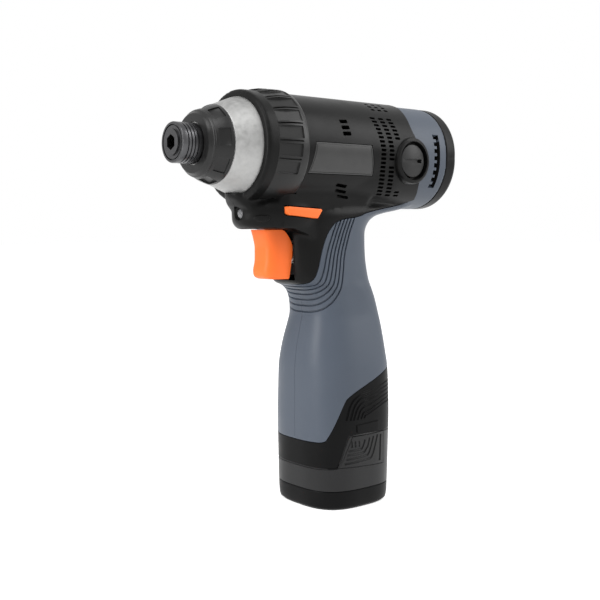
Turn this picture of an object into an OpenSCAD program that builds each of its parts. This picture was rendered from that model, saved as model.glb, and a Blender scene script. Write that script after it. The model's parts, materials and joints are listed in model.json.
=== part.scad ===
// Cordless impact driver with a stick battery in its grip.
// +X points to the nose, +Y to the left side, +Z up. The origin is the middle of the foot.

/* [Whole tool] */
// Height of the barrel axis above the foot
axis_h = 181; // [176:1:188]
// Depth of the battery foot, front to back
foot_d = 52; // [50:1:54]
// Width of the battery foot
foot_w = 52; // [51:1:54]
// Unit of the head's side outlines, front to back
head_x = 68; // [66:1:70]
// Unit of the skin's heights
skin_h = 181; // [178:1:184]
// Reach of the chin in front of the grip axis
chin_x = 60; // [58:1:62]
// Roundness of the chin's cross section, 2 is an ellipse
chin_power = 2.2; // [2:0.1:2.6]
// Wall of the moulded shells
wall = 2.8; // [2.4:0.1:3]
// Squareness of the grip's cross section, 2 is an ellipse
grip_power = 3; // [2.6:0.1:3.2]

/* [Barrel] */
// Bore of the barrel shells
bore_r = 22.65; // [22.6:0.05:23]
// Wall of the black barrel shell
barrel_wall = 4.15; // [3.8:0.05:4.6]
// Step from the black barrel down to the grey rear band
band_step = 0.8; // [0.5:0.1:1.2]
// Where the black barrel shell meets the collar
barrel_front_x = 38; // [36:1:39]
// Where the rear cap begins
cap_x = -59; // [-61:0.5:-58]
// Length of the rear cap
cap_len = 8; // [7:0.5:10]
// Height of the collar over the barrel
collar_proud = 1.6; // [1.2:0.1:2]
// Length of the collar
collar_len = 21; // [20:0.5:22]
// Number of ridges round the collar, each between two grooves
collar_ridges = 18; // [12:1:20]

/* [Nose] */
// Largest radius of the hammer case
case_r = 23.4; // [23.2:0.1:24]
// Radius of the hammer case where the bumper starts
case_front_r = 18.8; // [18:0.2:19.4]
// Where the bumper starts
bumper_x = 74.7; // [74:0.1:75.4]
// Length of the bumper
bumper_len = 11.2; // [10.6:0.2:12]
// Front radius of the bumper
bumper_front_r = 14; // [13.4:0.2:14.6]
// Thickness of the bumper
bumper_t = 2.2; // [1.8:0.1:2.6]
// Radius of the bit sleeve
sleeve_r = 9.4; // [9.1:0.1:9.7]
// Travel of the bit sleeve
sleeve_travel = 3; // [2.4:0.1:3]
// Radius of the anvil nose
anvil_r = 6; // [5.9:0.05:6.1]
// Where the anvil ends
anvil_tip_x = 97.4; // [97:0.1:98]
// Width across flats of the bit socket
hex_flats = 6.35; // [6.35:0.05:6.5]
// Depth of the bit socket
hex_depth = 25; // [22:0.5:26]

/* [Gearbox and hammer] */
// Rear face of the gearbox plate
plate_x = 15; // [14.5:0.1:15.2]
// Thickness of the gearbox plate
plate_t = 5; // [5:0.1:5.4]
// Face width of the ring gear
ring_w = 8.8; // [8.4:0.1:9]
// Gear module
gear_m = 0.8; // [0.78:0.01:0.81]
// Teeth of the motor pinion
sun_teeth = 12; // [12]
// Teeth of a planet gear
planet_teeth = 18; // [18]
// Number of planet gears
planets = 3; // [3]
// Thickness of the planet carrier
carrier_t = 5; // [4.6:0.1:5.2]
// Radius of the spindle
spindle_r = 6.7; // [6.5:0.05:6.8]
// Radius of the hammer
hammer_r = 18.9; // [18.6:0.05:19]
// Length of the hammer without its lugs
hammer_len = 13.8; // [13.6:0.1:14]
// Backward travel of the hammer
hammer_travel = 6.5; // [6:0.1:6.8]
// Turn of the hammer over that travel, in degrees
hammer_turn = 45; // [30:1:46]
// Radius of a cam ball
cam_ball_r = 2.5; // [2.4:0.05:2.5]

/* [Motor] */
// Radius of the motor can
can_r = 20.6; // [20.2:0.1:20.8]
// Length of the motor can
can_len = 30; // [29:0.5:31]
// Radius of the armature core
core_r = 13.5; // [13.2:0.1:13.8]
// Radius of the motor shaft
shaft_r = 2.5; // [2.4:0.05:2.6]
// Radius of the commutator
commutator_r = 8.5; // [8.2:0.1:8.8]
// Number of armature teeth and of commutator bars
armature_teeth = 12; // [8:1:14]
// Radius of a brush cap
brush_cap_r = 8.5; // [8.2:0.1:8.8]
// Where the brushes sit along the barrel
brush_x = -34.5; // [-35:0.5:-34]

/* [Trigger and controls] */
// Travel of the trigger
trigger_travel = 7; // [5:0.5:7]
// Width of the trigger
trigger_w = 16; // [15:0.5:17]
// Depth of the chin's underside below the barrel axis
chin_drop = 39.5; // [39:0.5:40.5]
// Travel of the direction selector to each side
selector_travel = 2.5; // [2:0.25:3]
// Radius of the work light lens
lens_r = 2.6; // [2.2:0.1:3]

/* [Battery] */
// Radius of one battery cell
cell_r = 9.15; // [9:0.05:9.2]
// Length of one battery cell
cell_len = 65; // [64:0.5:65.5]
// Thickness of the battery's bottom cover
base_t = 3; // [2.6:0.1:3.4]
// Height of the rim of the bottom cover
base_rim = 9.8; // [8:0.1:11]
// Wall of the battery case
case_wall = 2.2; // [1.8:0.1:2.4]
// Travel of a release button
release_travel = 1.8; // [1.4:0.1:1.9]

/* [Hidden] */
$fn = 96;

// Clearances: a running fit, a sliding gap, a seam between mouldings, and the overrun of cuts
run_fit = 0.05;
slide_gap = 0.3;
seam_gap = 0.4;
over = 1;

// Colours of the materials
black = [0.12, 0.12, 0.13];
slate = [0.36, 0.40, 0.46];
orange = [1.0, 0.45, 0.18];
silver = [0.75, 0.75, 0.76];
steel = [0.55, 0.55, 0.57];
dark_steel = [0.27, 0.27, 0.28];
copper = [0.72, 0.42, 0.22];
brass = [0.80, 0.65, 0.30];

// Radii of the barrel
barrel_r = bore_r + barrel_wall;
band_r = barrel_r - band_step;
collar_r = barrel_r + collar_proud;

// Stations along the barrel, from the gearbox plate to the nose
ring_x = plate_x + plate_t;
gear_gap = 0.4;
carrier_x = ring_x + ring_w + gear_gap;
spring_x = carrier_x + carrier_t;
hammer_rest_gap = 3.3;
hammer_x = spring_x + hammer_travel + hammer_rest_gap;
hammer_front_x = hammer_x + hammer_len;
lug_len = 5;
lug_gap = 0.5;
flange_x = hammer_front_x + lug_gap;
flange_t = 6;
case_face_x = flange_x + flange_t + gear_gap;
case_rear_x = ring_x + ring_w;
case_neck_x = bumper_x + bumper_len - bumper_t / 2;
collar_end_x = barrel_front_x + collar_len;
hammer_gap = 0.5;
case_bore_r = hammer_r + hammer_gap;
case_skirt_r = bore_r - run_fit;

// Rings of the skin from the foot up: height, back and front edge, and half width
grip_ring_shares = [
    [0, -0.470, 0.430, 0.455], [0.007, -0.495, 0.455, 0.480], [0.03, -0.505, 0.465, 0.490],
    [0.15, -0.515, 0.475, 0.500], [0.25, -0.520, 0.480, 0.505], [0.33, -0.520, 0.480, 0.495],
    [0.39, -0.515, 0.480, 0.480], [0.43, -0.500, 0.468, 0.458], [0.47, -0.485, 0.445, 0.430],
    [0.51, -0.465, 0.410, 0.400], [0.545, -0.440, 0.387, 0.375], [0.58, -0.405, 0.400, 0.365],
    [0.605, -0.370, 0.430, 0.362], [0.622, -0.345, 0.490, 0.360], [0.635, -0.335, 0.610, 0.356],
    [0.66, -0.315, 0.635, 0.350], [0.71, -0.290, 0.645, 0.342], [0.77, -0.285, 0.650, 0.338],
    [0.80, -0.330, 0.650, 0.345], [0.82, -0.440, 0.650, 0.350], [0.838, -0.800, 0.650, 0.335],
    [0.85, -1.000, 0.650, 0.300], [0.885, -1.020, 0.650, 0.260]];
// Rings of the chin from its underside up: height over the underside, front edge and half width
chin_back_share = 0.2;
chin_ring_shares = [
    [0, 0.945, 0.300], [0.007, 0.975, 0.322], [0.025, 1.000, 0.336], [0.047, 1.000, 0.344],
    [0.067, 0.970, 0.330], [0.08, 0.885, 0.300], [0.10, 0.850, 0.270]];
// Side view edge between the grey body and the black barrel, from the top rear to the front
black_edge_shares = [
    [-0.52, 1.20], [-0.51, 1.12], [-0.49, 1.066], [-0.53, 1.036], [-0.59, 0.912],
    [-0.64, 0.876], [-0.66, 0.859], [-0.12, 0.830], [-0.04, 0.815], [0.17, 0.807],
    [0.26, 0.775], [0.312, 0.726], [0.345, 0.672], [0.375, 0.642], [0.44, 0.626],
    [1.20, 0.620], [1.20, 1.20]];
// Side view edge between the grip and the battery, from the back to the front
battery_edge_shares = [
    [-0.70, 0.396], [-0.38, 0.388], [-0.13, 0.358], [0.195, 0.320], [0.265, 0.295],
    [0.385, 0.205], [0.405, 0.194], [0.70, 0.191]];

// Heights: the foot and the head keep their shape, and the grip between them stretches
foot_share = 0.33;
neck_share = 0.605;
chin_z = axis_h - chin_drop;
function foot_z(s) = s * skin_h;
function head_z(s) = axis_h - (1 - s) * skin_h;
function skin_z(s) = s <= foot_share ? foot_z(s) : s >= neck_share ? head_z(s)
    : foot_z(foot_share)
        + (s - foot_share) / (neck_share - foot_share) * (head_z(neck_share) - foot_z(foot_share));

// Points of the skin
skin_points = 16;
// First and last ring that each piece of the skin uses
battery_span = [0, 8];
base_span = [0, 3];
button_span = [2, 5];
grip_span = [3, len(grip_ring_shares) - 1];
post_span = [9, 19];
neck_span = [12, len(grip_ring_shares) - 1];
function signed_power(v, p) = sign(v) * pow(abs(v), p);
function skin_ring(z, back, front, half, power, turn, steps) = [for (i = [0:steps])
    [(front + back) / 2 + (front - back) / 2 * signed_power(cos(turn * i / steps), 2 / power),
     half * signed_power(sin(turn * i / steps), 2 / power), z]];
function grip_rings(span, inset, turn, steps) = [for (i = [span[0]:span[1]])
    let (s = grip_ring_shares[i])
    skin_ring(skin_z(s[0]), s[1] * foot_d + inset, s[2] * foot_d - inset, s[3] * foot_w - inset,
        grip_power, turn, steps)];
function chin_rings(inset, turn, steps) = [for (s = chin_ring_shares)
    skin_ring(chin_z + foot_z(s[0]) + (s[0] == 0 ? inset : 0), chin_back_share * chin_x,
        s[1] * chin_x - inset, s[2] * foot_w - inset, chin_power, turn, steps)];

// Solid through a list of rings with the same number of points
module loft(rings) {
    n = len(rings[0]);
    m = len(rings);
    sides = [for (j = [0:m - 2], i = [0:n - 1], k = [0:1])
        k == 0 ? [j * n + i, (j + 1) * n + i, j * n + (i + 1) % n]
        : [j * n + (i + 1) % n, (j + 1) * n + i, (j + 1) * n + (i + 1) % n]];
    bottom = [for (i = [0:n - 1]) i];
    top = [for (i = [n - 1:-1:0]) (m - 1) * n + i];
    polyhedron(concat([for (r = rings) each r]), concat([bottom], sides, [top]), convexity = 8);
}
function closed(rings) = [for (r = rings) [for (i = [0:len(r) - 2]) r[i]]];

// Round tube swept along points, closed at both ends
function unit(v) = v / norm(v);
function path_dir(p, i) = unit(p[min(i + 1, len(p) - 1)] - p[max(i - 1, 0)]);
module tube(path, r, sides, up) {
    rings = [for (i = [0:len(path) - 1])
        let (d = path_dir(path, i), a = unit(cross(d, up)), b = cross(d, a))
        [for (k = [0:sides - 1])
            path[i] + r * (cos(-360 * k / sides) * a + sin(-360 * k / sides) * b)]];
    loft(rings);
}
// Coil along Z from zero to length
coil_steps = 8;
coil_sides = 6;
function coil_path(r, wire, length, turns) = [for (i = [0:turns * coil_steps])
    [r * cos(360 * i / coil_steps), r * sin(360 * i / coil_steps),
     wire + (length - 2 * wire) * i / (turns * coil_steps)]];
module coil(r, wire, length, turns) tube(coil_path(r, wire, length, turns), wire, coil_sides, [0, 0, 1]);

// Places: along the barrel axis, and side outlines pushed out to the left
module axial(x = 0) translate([x, 0, axis_h]) rotate([0, 90, 0]) children();
module side_prism(points, from, to) translate([0, to, 0]) rotate([90, 0, 0])
    linear_extrude(to - from) polygon(points);
module ring(r_out, r_in, length) difference() {
    cylinder(r = r_out, h = length);
    translate([0, 0, -over]) cylinder(r = r_in, h = length + 2 * over);
}
module both_sides() {
    children();
    mirror([0, 1, 0]) children();
}

// Housing
big = axis_h * 2;
black_edge = [for (s = black_edge_shares) [s[0] * head_x, head_z(s[1])]];
battery_edge = [for (s = battery_edge_shares) [s[0] * foot_d, foot_z(s[1])]];
boss_wall = 3;
boss_r = brush_cap_r + boss_wall;
boss_drop = 2;
brush_z = axis_h - boss_drop;
boss_proud = 0.8;
boss_y = barrel_r + boss_proud;
boss_root_y = 14;
cap_seat_y = 22;
tube_r = 5.5;
module black_side() union() {
    side_prism(black_edge, 0, big / 4);
    translate([brush_x, 0, brush_z]) rotate([-90, 0, 0]) cylinder(r = boss_r, h = big / 4);
}
module battery_side(drop) translate([0, 0, -drop])
    side_prism(concat(battery_edge, [[foot_d, -over], [-foot_d, -over]]), -big / 4, big / 4);

// Screws through the shells: along the barrel and height
screw_r = 1.4;
screw_head_r = 2.9;
screw_boss_r = 3.4;
screw_head_y = 10;
screw_tip_y = 9;
screw_shares = [[-0.68, 1.10], [-0.68, 0.90], [-0.09, 0.785], [0.715, 0.815], [0.20, 0.575],
    [-0.13, 0.62]];
function screw_at(s) = [s[0] * head_x, head_z(s[1])];
grey_screws = [0, 1, 2, 4, 5];
black_screws = [3];
chin_post_share = 0.28;
module screw_posts(list, length) for (i = list)
    translate([screw_at(screw_shares[i])[0], 0, screw_at(screw_shares[i])[1]]) rotate([-90, 0, 0])
        cylinder(r = screw_boss_r, h = length);
module screw_holes() for (s = screw_shares)
    translate([screw_at(s)[0], -over, screw_at(s)[1]]) rotate([-90, 0, 0])
        cylinder(r = screw_r, h = screw_tip_y + over);
module screw_wells() for (s = screw_shares)
    translate([screw_at(s)[0], -over, screw_at(s)[1]]) rotate([-90, 0, 0]) {
        cylinder(r = screw_r, h = screw_head_y + 2 * over);
        translate([0, 0, screw_head_y + over]) cylinder(r = screw_head_r, h = foot_w);
    }

// Vents: bent columns of slots across the barrel's side, clear of the brush boss
vent_w = 2.2;
vent_h = 2.2;
vent_turn = 10.4;
vent_top_turn = 34;
vent_rows = 9;
vent_column_shares = [-0.125, -0.21, -0.296];
vent_bend_share = 0.125;
vent_bend_turn = 55;
small_vent_len = 5;
small_vent_h = 1.6;
upper_vents = [[0.21, 28.6], [0.20, 21.8], [0.19, 15.1]];
lower_vents = [[0.156, -43], [0.154, -51], [0.14, -60]];
rear_slot_x = -51.4;
rear_slot_w = 4;
rear_slot_top = 22;
rear_slot_turn = 61;
function vent_x(c, turn) = head_x * (vent_column_shares[c]
    - (turn < 0 ? vent_bend_share * pow(turn / vent_bend_turn, 2) : 0));
module barrel_slot(x, turn, length, height) translate([x, 0, axis_h]) rotate([turn, 0, 0])
    translate([-length / 2, bore_r - over, -height / 2])
        cube([length, barrel_wall + 2 * over, height]);
module vent_slots() {
    for (c = [0:len(vent_column_shares) - 1], i = [0:vent_rows - 1])
        let (turn = vent_top_turn - i * vent_turn, x = vent_x(c, turn))
        if (norm([x - brush_x, barrel_r * sin(turn) + boss_drop]) > boss_r + vent_w)
            barrel_slot(x, turn, vent_w, vent_h);
    for (v = concat(upper_vents, lower_vents))
        barrel_slot(v[0] * head_x, v[1], small_vent_len, small_vent_h);
}
// Crescent slot in the rear band
module rear_vents() axial(rear_slot_x - rear_slot_w / 2)
    rotate([0, 0, 90 + rear_slot_top - rear_slot_turn]) rotate_extrude(angle = rear_slot_turn)
        translate([band_r - wall - band_step, 0]) square([2 * wall, rear_slot_w]);

// Half of the outer form, without its hollow
band_front_x = -28;
module band_half() axial() rotate_extrude(angle = 180)
    polygon([[0, cap_x], [band_r, cap_x], [band_r, band_front_x], [0, band_front_x]]);
module barrel_half() axial() rotate_extrude(angle = 180)
    polygon([[0, barrel_back_x], [barrel_r, barrel_back_x],
        [barrel_r, barrel_front_x], [0, barrel_front_x]]);
barrel_back_share = 0.77;
barrel_back_x = barrel_back_share * cap_x;
module spigot_half() axial() rotate_extrude(angle = 180)
    polygon([[0, barrel_front_x - over], [spigot_r, barrel_front_x - over],
        [spigot_r, collar_end_x - spigot_back], [0, collar_end_x - spigot_back]]);
spigot_t = 1.95;
spigot_r = bore_r + spigot_t;
spigot_back = 2;
web_t = 5;
web_back = 3;
web_x = cap_x + web_back;
bearing_r = 6.5;
bearing_w = 4;
rib_w = 3;
fan_room = 11;
can_x = plate_x - fan_room - can_len;
trigger_gap = 0.5;
trigger_drop = 64;
trigger_z = axis_h - trigger_drop;

module barrel_bore() axial(cap_x - over) cylinder(r = bore_r, h = collar_end_x - cap_x + 2 * over);
module grip_hollow(span) loft(closed(grip_rings(span, wall, 360, 2 * skin_points)));
module chin_hollow() loft(closed(chin_rings(wall, 360, 2 * skin_points)));
module motor_ribs() for (x = [can_x + rib_w, can_x + can_len - 2 * rib_w])
    axial(x) rotate_extrude(angle = 180)
        polygon([[can_r + run_fit, 0], [bore_r + over, 0],
            [bore_r + over, rib_w], [can_r + run_fit, rib_w]]);
module bearing_web() axial(web_x) rotate_extrude(angle = 180)
    polygon([[bearing_r, 0], [bore_r + over, 0], [bore_r + over, web_t], [bearing_r, web_t]]);
switch_w = 18;
rib_len = 3;
switch_rib_x = 6;
switch_rib_rise = 4;
switch_rib_z = trigger_z + switch_rib_rise;
switch_rib_h = 16;
module switch_rib() translate([switch_rib_x, switch_w / 2 + run_fit, switch_rib_z])
    cube([rib_len, foot_w / 2, switch_rib_h]);
// Ledge under the terminal block
module block_ledge() translate([-rib_len / 2, block_w / 2 - rib_len, block_z - rib_len])
    cube([rib_len, foot_w / 2, rib_len]);

module grey_half() difference() {
    union() {
        difference() {
            intersection() {
                union() {
                    loft(grip_rings(grip_span, 0, 180, skin_points));
                    band_half();
                }
                translate([-big / 2, 0, 0]) cube([big, big / 4, big]);
            }
            black_side();
            battery_side(0);
            barrel_bore();
            grip_hollow(grip_span);
        }
        bearing_web();
        intersection() {
            union() {
                screw_posts(grey_screws, foot_w / 2);
                switch_rib();
                block_ledge();
            }
            grey_room();
        }
    }
    rear_vents();
    axial(cap_x - over) cylinder(r = band_r - wall, h = cap_spigot + over);
}
cap_spigot = 2.5;
module grey_room() union() {
    loft(grip_rings(post_span, wall / 2, 180, skin_points));
    band_half();
}

module left_body() color(slate) difference() {
    grey_half();
    screw_holes();
}
module right_body() color(slate) mirror([0, 1, 0]) difference() {
    grey_half();
    screw_wells();
}

module collar_room() axial(barrel_front_x) cylinder(r = collar_r, h = collar_len);
module brush_boss() difference() {
    translate([brush_x, boss_root_y, brush_z]) rotate([-90, 0, 0])
        cylinder(r = boss_r, h = boss_y - boss_root_y);
    axial(can_x - over) cylinder(r = bore_r, h = can_len + over);
}
module brush_hole() translate([brush_x, 0, brush_z]) rotate([-90, 0, 0]) {
    cylinder(r = tube_r + run_fit, h = cap_seat_y);
    translate([0, 0, cap_seat_y]) cylinder(r = brush_cap_r + run_fit, h = foot_w);
}

// Direction selector outline with room round it
selector_front_x = 44.7;
selector_back_x = 23;
selector_rise = 10.9;
selector_top_z = chin_z + selector_rise;
selector_h = 3.3;
selector_drop = 1.2;
selector_tail = 3;
function selector_outline(c) = [
    [selector_front_x + c, selector_top_z - selector_h - c], [selector_front_x + c, selector_top_z + c],
    [selector_back_x - c, selector_top_z - selector_drop + c],
    [selector_back_x + selector_tail - c, selector_top_z - selector_drop - selector_h - selector_drop - c]];

lens_rise = 7.5;
lens_z = chin_z + lens_rise;
lens_len = 6;
lens_x = chin_x - lens_len;
module black_half() difference() {
    union() {
        difference() {
            intersection() {
                union() {
                    loft(grip_rings(neck_span, 0, 180, skin_points));
                    loft(chin_rings(0, 180, skin_points));
                    barrel_half();
                }
                black_side();
            }
            collar_room();
            barrel_bore();
            grip_hollow(neck_span);
            chin_hollow();
        }
        difference() {
            spigot_half();
            barrel_bore();
        }
        motor_ribs();
        brush_boss();
        screw_posts(black_screws, chin_post_share * foot_w);
    }
    axial(bearing_x) cylinder(r = commutator_r + commutator_room, h = can_len);
    brush_hole();
    vent_slots();
    side_prism(selector_outline(slide_gap), -over, foot_w);
    // mouth of the trigger
    translate([switch_front_x - over, -over, trigger_z - trigger_gap])
        cube([foot_d, trigger_w / 2 + slide_gap + over, chin_z + trigger_gap - trigger_z]);
    translate([lens_x - over, 0, lens_z]) rotate([0, 90, 0]) cylinder(r = lens_r + run_fit, h = chin_x);
}
bearing_x = -46;
commutator_room = 5;

plate_shares = [[0.49, 0.0125], [-0.047, 0.0125], [-0.097, -0.0725], [0.53, -0.0725]];
plate_depth = 0.8;
function plate_outline() = [for (s = plate_shares) [s[0] * head_x, axis_h + s[1] * skin_h]];
module plate_room() intersection() {
    axial(cap_x) ring(barrel_r + over, barrel_r - plate_depth, -cap_x + head_x);
    side_prism(plate_outline(), 0, foot_w);
}
module left_barrel() color(black) difference() {
    black_half();
    screw_holes();
    plate_room();
}
module right_barrel() color(black) mirror([0, 1, 0]) difference() {
    black_half();
    screw_wells();
}
module name_plate() color(dark_steel) intersection() {
    axial(cap_x) ring(barrel_r - plate_depth / 4, barrel_r - plate_depth, -cap_x + head_x);
    side_prism(plate_outline(), 0, foot_w);
}

cap_round = 6;
module rear_cap() color(black) axial(cap_x) difference() {
    union() {
        translate([0, 0, -cap_len]) cylinder(r = band_r - cap_round, h = cap_len);
        translate([0, 0, -cap_len + cap_round]) cylinder(r = band_r, h = cap_len - cap_round);
        intersection() {
            translate([0, 0, -cap_len + cap_round]) rotate_extrude()
                translate([band_r - cap_round, 0]) circle(r = cap_round);
            translate([0, 0, -cap_len]) cylinder(r = band_r + over, h = cap_round);
        }
        cylinder(r = band_r - wall - run_fit, h = cap_spigot);
    }
    translate([0, 0, -cap_len + wall]) cylinder(r = band_r - 2 * wall, h = cap_len + cap_spigot);
}

// Collar that ties the shells to the hammer case
collar_flange = 4.3;
collar_land_share = 0.3;
collar_land = collar_land_share * collar_len;
collar_front_t = 2.6;
collar_front_r = case_r + collar_front_t;
groove_depth = 0.9;
groove_turn = 1.2;
ridge_turn = 3.4;
groove_end = 1;
groove_x = collar_land + groove_end;
groove_end_x = collar_len - collar_flange - groove_end;
module collar_groove() rotate_extrude(angle = groove_turn) polygon([
    [collar_r - groove_depth, groove_x], [collar_r + over, groove_x], [collar_r + over, groove_end_x],
    [collar_front_r + over - groove_depth, groove_end_x]]);
module front_collar() color(black) axial(barrel_front_x) difference() {
    rotate_extrude() polygon([
        [spigot_r + run_fit, 0], [collar_r - over / 2, 0], [collar_r, over], [collar_r, collar_land],
        [collar_front_r + over, collar_len - collar_flange], [collar_front_r, collar_len - collar_flange],
        [collar_front_r, collar_len], [case_r + run_fit, collar_len],
        [case_r + run_fit, collar_len - spigot_back + run_fit],
        [spigot_r + run_fit, collar_len - spigot_back + run_fit]]);
    for (i = [0:collar_ridges - 1], side = [0, 1])
        rotate([0, 0, i * 360 / collar_ridges + side * ridge_turn]) collar_groove();
}

screw_head_h = 2.2;
module housing_screws() color(dark_steel) for (s = screw_shares)
    translate([screw_at(s)[0], 0, screw_at(s)[1]]) rotate([90, 0, 0]) difference() {
        union() {
            translate([0, 0, -screw_tip_y + over]) cylinder(r = screw_r, h = screw_tip_y + screw_head_y);
            translate([0, 0, screw_head_y]) cylinder(r = screw_head_r - run_fit, h = screw_head_h);
        }
        translate([0, 0, screw_head_y + screw_head_h / 2]) cylinder(r = screw_r, h = screw_head_h, $fn = 6);
    }

// Nose
bush_r = 8.8;
journal_r = 7;
seal_len = 2.4;
module hammer_case() color(silver) axial() rotate_extrude() polygon([
    [bush_r, case_neck_x], [case_front_r - 3 * bumper_t, case_neck_x],
    [case_front_r - bumper_t, bumper_x], [case_front_r, bumper_x],
    [case_r, collar_end_x + bumper_t], [case_r, collar_end_x - spigot_back + 2 * run_fit],
    [case_skirt_r, collar_end_x - spigot_back + 2 * run_fit],
    [case_skirt_r, case_rear_x], [case_bore_r, case_rear_x],
    [case_bore_r, case_face_x], [bush_r, case_face_x]]);
ridge_share = 0.52;
ridge_x = bumper_x + ridge_share * bumper_len;
ridge_h = 0.5;
ridge_w = 0.8;
dents = 9;
dent_share = 0.25;
dent_x = bumper_x + dent_share * bumper_len;
dent_len = 3.8;
dent_w = 7;
dent_d = 2;
cone_turn = atan2(case_front_r - bumper_front_r, bumper_len);
function cone_r(x) = case_front_r - (x - bumper_x) * tan(cone_turn);
module nose_bumper() color(black) axial() difference() {
    rotate_extrude() polygon([
        [case_front_r - bumper_t + run_fit, bumper_x], [case_front_r, bumper_x],
        [cone_r(ridge_x - ridge_w), ridge_x - ridge_w], [cone_r(ridge_x) + ridge_h, ridge_x],
        [cone_r(ridge_x + ridge_w), ridge_x + ridge_w], [bumper_front_r, bumper_x + bumper_len],
        [sleeve_r + 2 * slide_gap, bumper_x + bumper_len],
        [sleeve_r + 2 * slide_gap, case_neck_x + run_fit],
        [case_front_r - 3 * bumper_t + run_fit, case_neck_x + run_fit]]);
    for (i = [0:dents - 1]) rotate([0, 0, (i + 1 / 2) * 360 / dents])
        translate([cone_r(dent_x), 0, dent_x]) rotate([0, -cone_turn, 0])
            translate([-dent_d / 2, -dent_w / 2, -dent_len / 2])
                cube([dent_d, dent_w, dent_len]);
}
bush_len = case_neck_x - seal_len - case_face_x;
module anvil_bush() color(brass) axial(case_face_x) ring(bush_r, journal_r + run_fit, bush_len);
module anvil_seal() color(black) axial(case_face_x + bush_len)
    ring(bush_r, journal_r + 2 * run_fit, seal_len);

land_len = 2.2;
spring_solid = 1.6;
sleeve_back_x = case_neck_x + slide_gap;
anvil_proud = 0.8;
sleeve_front_x = anvil_tip_x - anvil_proud;
clip_groove = 0.6;
clip_w = 0.9;
washer_t = 0.8;
clip_x = sleeve_front_x - clip_w - 2 * run_fit;
land_x = clip_x - washer_t - sleeve_travel - spring_solid - land_len;
lock_ball_r = 1.5;
lock_ball_x = land_x + lock_ball_r;
lock_ball_rad = 4.5;
pilot_r = 3.15;
pilot_len = 6;
lug_w = 9;
lug_r = 17.5;
module anvil() color(steel) axial() difference() {
    union() {
        translate([0, 0, flange_x]) cylinder(r = bush_r, h = flange_t);
        translate([-lug_r, -lug_w / 2, flange_x]) intersection() {
            cube([2 * lug_r, lug_w, flange_t]);
            translate([lug_r, lug_w / 2, 0]) cylinder(r = lug_r, h = flange_t);
        }
        translate([0, 0, flange_x]) cylinder(r = journal_r, h = land_x - slide_gap - flange_x);
        translate([0, 0, flange_x]) cylinder(r = anvil_r, h = anvil_tip_x - flange_x);
    }
    translate([0, 0, flange_x - over]) cylinder(r = pilot_r + run_fit, h = pilot_len + over);
    translate([0, 0, anvil_tip_x - hex_depth])
        cylinder(d = hex_flats / cos(30), h = hex_depth + over, $fn = 6);
    for (a = [90, 270]) rotate([0, 0, a]) translate([0, 0, lock_ball_x]) rotate([0, 90, 0])
        cylinder(r = lock_ball_r + run_fit, h = journal_r);
    translate([0, 0, clip_x]) ring(anvil_r + over, anvil_r - clip_groove, clip_w);
}
module lock_balls() color(steel) axial(lock_ball_x) for (a = [90, 270])
    rotate([0, 0, a]) translate([lock_ball_rad, 0, 0]) sphere(r = lock_ball_r);

pocket_r = 8.2;
sleeve_groove = 0.5;
sleeve_grooves = 4;
pocket_x = land_x + land_len;
function groove_at(i) = pocket_x + i * (sleeve_front_x - pocket_x) / (sleeve_grooves + 1);
sleeve_bore_r = 7.9;
module bit_sleeve() color(dark_steel) axial() difference() {
    translate([0, 0, sleeve_back_x]) cylinder(r = sleeve_r, h = sleeve_front_x - sleeve_back_x);
    translate([0, 0, sleeve_back_x - over]) cylinder(r = sleeve_bore_r, h = land_x - sleeve_back_x + over);
    translate([0, 0, land_x - over]) cylinder(r = anvil_r + run_fit, h = land_len + 2 * over);
    translate([0, 0, pocket_x]) cylinder(r = pocket_r, h = sleeve_front_x - pocket_x + over);
    for (i = [1:sleeve_grooves])
        translate([0, 0, groove_at(i) - sleeve_groove])
            ring(sleeve_r + over, sleeve_r - sleeve_groove, 2 * sleeve_groove);
}
sleeve_wire = 0.24;
sleeve_turns = 3;
sleeve_spring_len = clip_x - washer_t - pocket_x;
module sleeve_spring() color(steel) axial(pocket_x)
    coil((anvil_r + pocket_r) / 2, sleeve_wire, sleeve_spring_len, sleeve_turns);
module sleeve_washer() color(dark_steel) axial(clip_x - washer_t)
    ring(pocket_r - 2 * run_fit, anvil_r + run_fit, washer_t);
module sleeve_ring() color(dark_steel) axial(clip_x)
    ring(pocket_r - 2 * slide_gap, anvil_r - clip_groove, clip_w);

// Hammer mechanism
cam_rad = 7;
cam_x = hammer_front_x - cam_ball_r - slide_gap;
recess_in_r = 9;
recess_out_r = 15.8;
recess_depth = 9.3;
lug_in_r = 10;
lug_half_turn = 20;
cam_clear = 0.06;
module hammer() color(dark_steel) axial() difference() {
    union() {
        translate([0, 0, hammer_x]) cylinder(r = hammer_r, h = hammer_len);
        for (a = [90, 270]) rotate([0, 0, a - lug_half_turn]) translate([0, 0, hammer_x])
            rotate_extrude(angle = 2 * lug_half_turn)
                translate([lug_in_r, 0]) square([hammer_r - lug_in_r, hammer_len + lug_len]);
    }
    translate([0, 0, hammer_x - over]) cylinder(r = spindle_r + run_fit, h = hammer_len + 2 * over);
    translate([0, 0, hammer_x - over]) ring(recess_out_r, recess_in_r, recess_depth + over);
    for (a = [0, 180]) rotate([0, 0, a]) translate([cam_rad, 0, cam_x]) {
        sphere(r = cam_ball_r + cam_clear);
        cylinder(r = cam_ball_r + cam_clear, h = hammer_len);
    }
}
module cam_balls() color(steel) axial(cam_x) for (a = [0, 180])
    rotate([0, 0, a]) translate([cam_rad, 0, 0]) sphere(r = cam_ball_r);
hammer_wire = 1.3;
hammer_turns = 5;
hammer_coil_r = 12;
spring_washer_t = 1;
washer_x = hammer_x + recess_depth - slide_gap - spring_washer_t;
module hammer_spring() color(steel) axial(spring_x)
    coil(hammer_coil_r, hammer_wire, washer_x - spring_x, hammer_turns);
module spring_washer() color(steel) axial(washer_x)
    ring(recess_out_r - slide_gap, recess_in_r + slide_gap, spring_washer_t);

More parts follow.
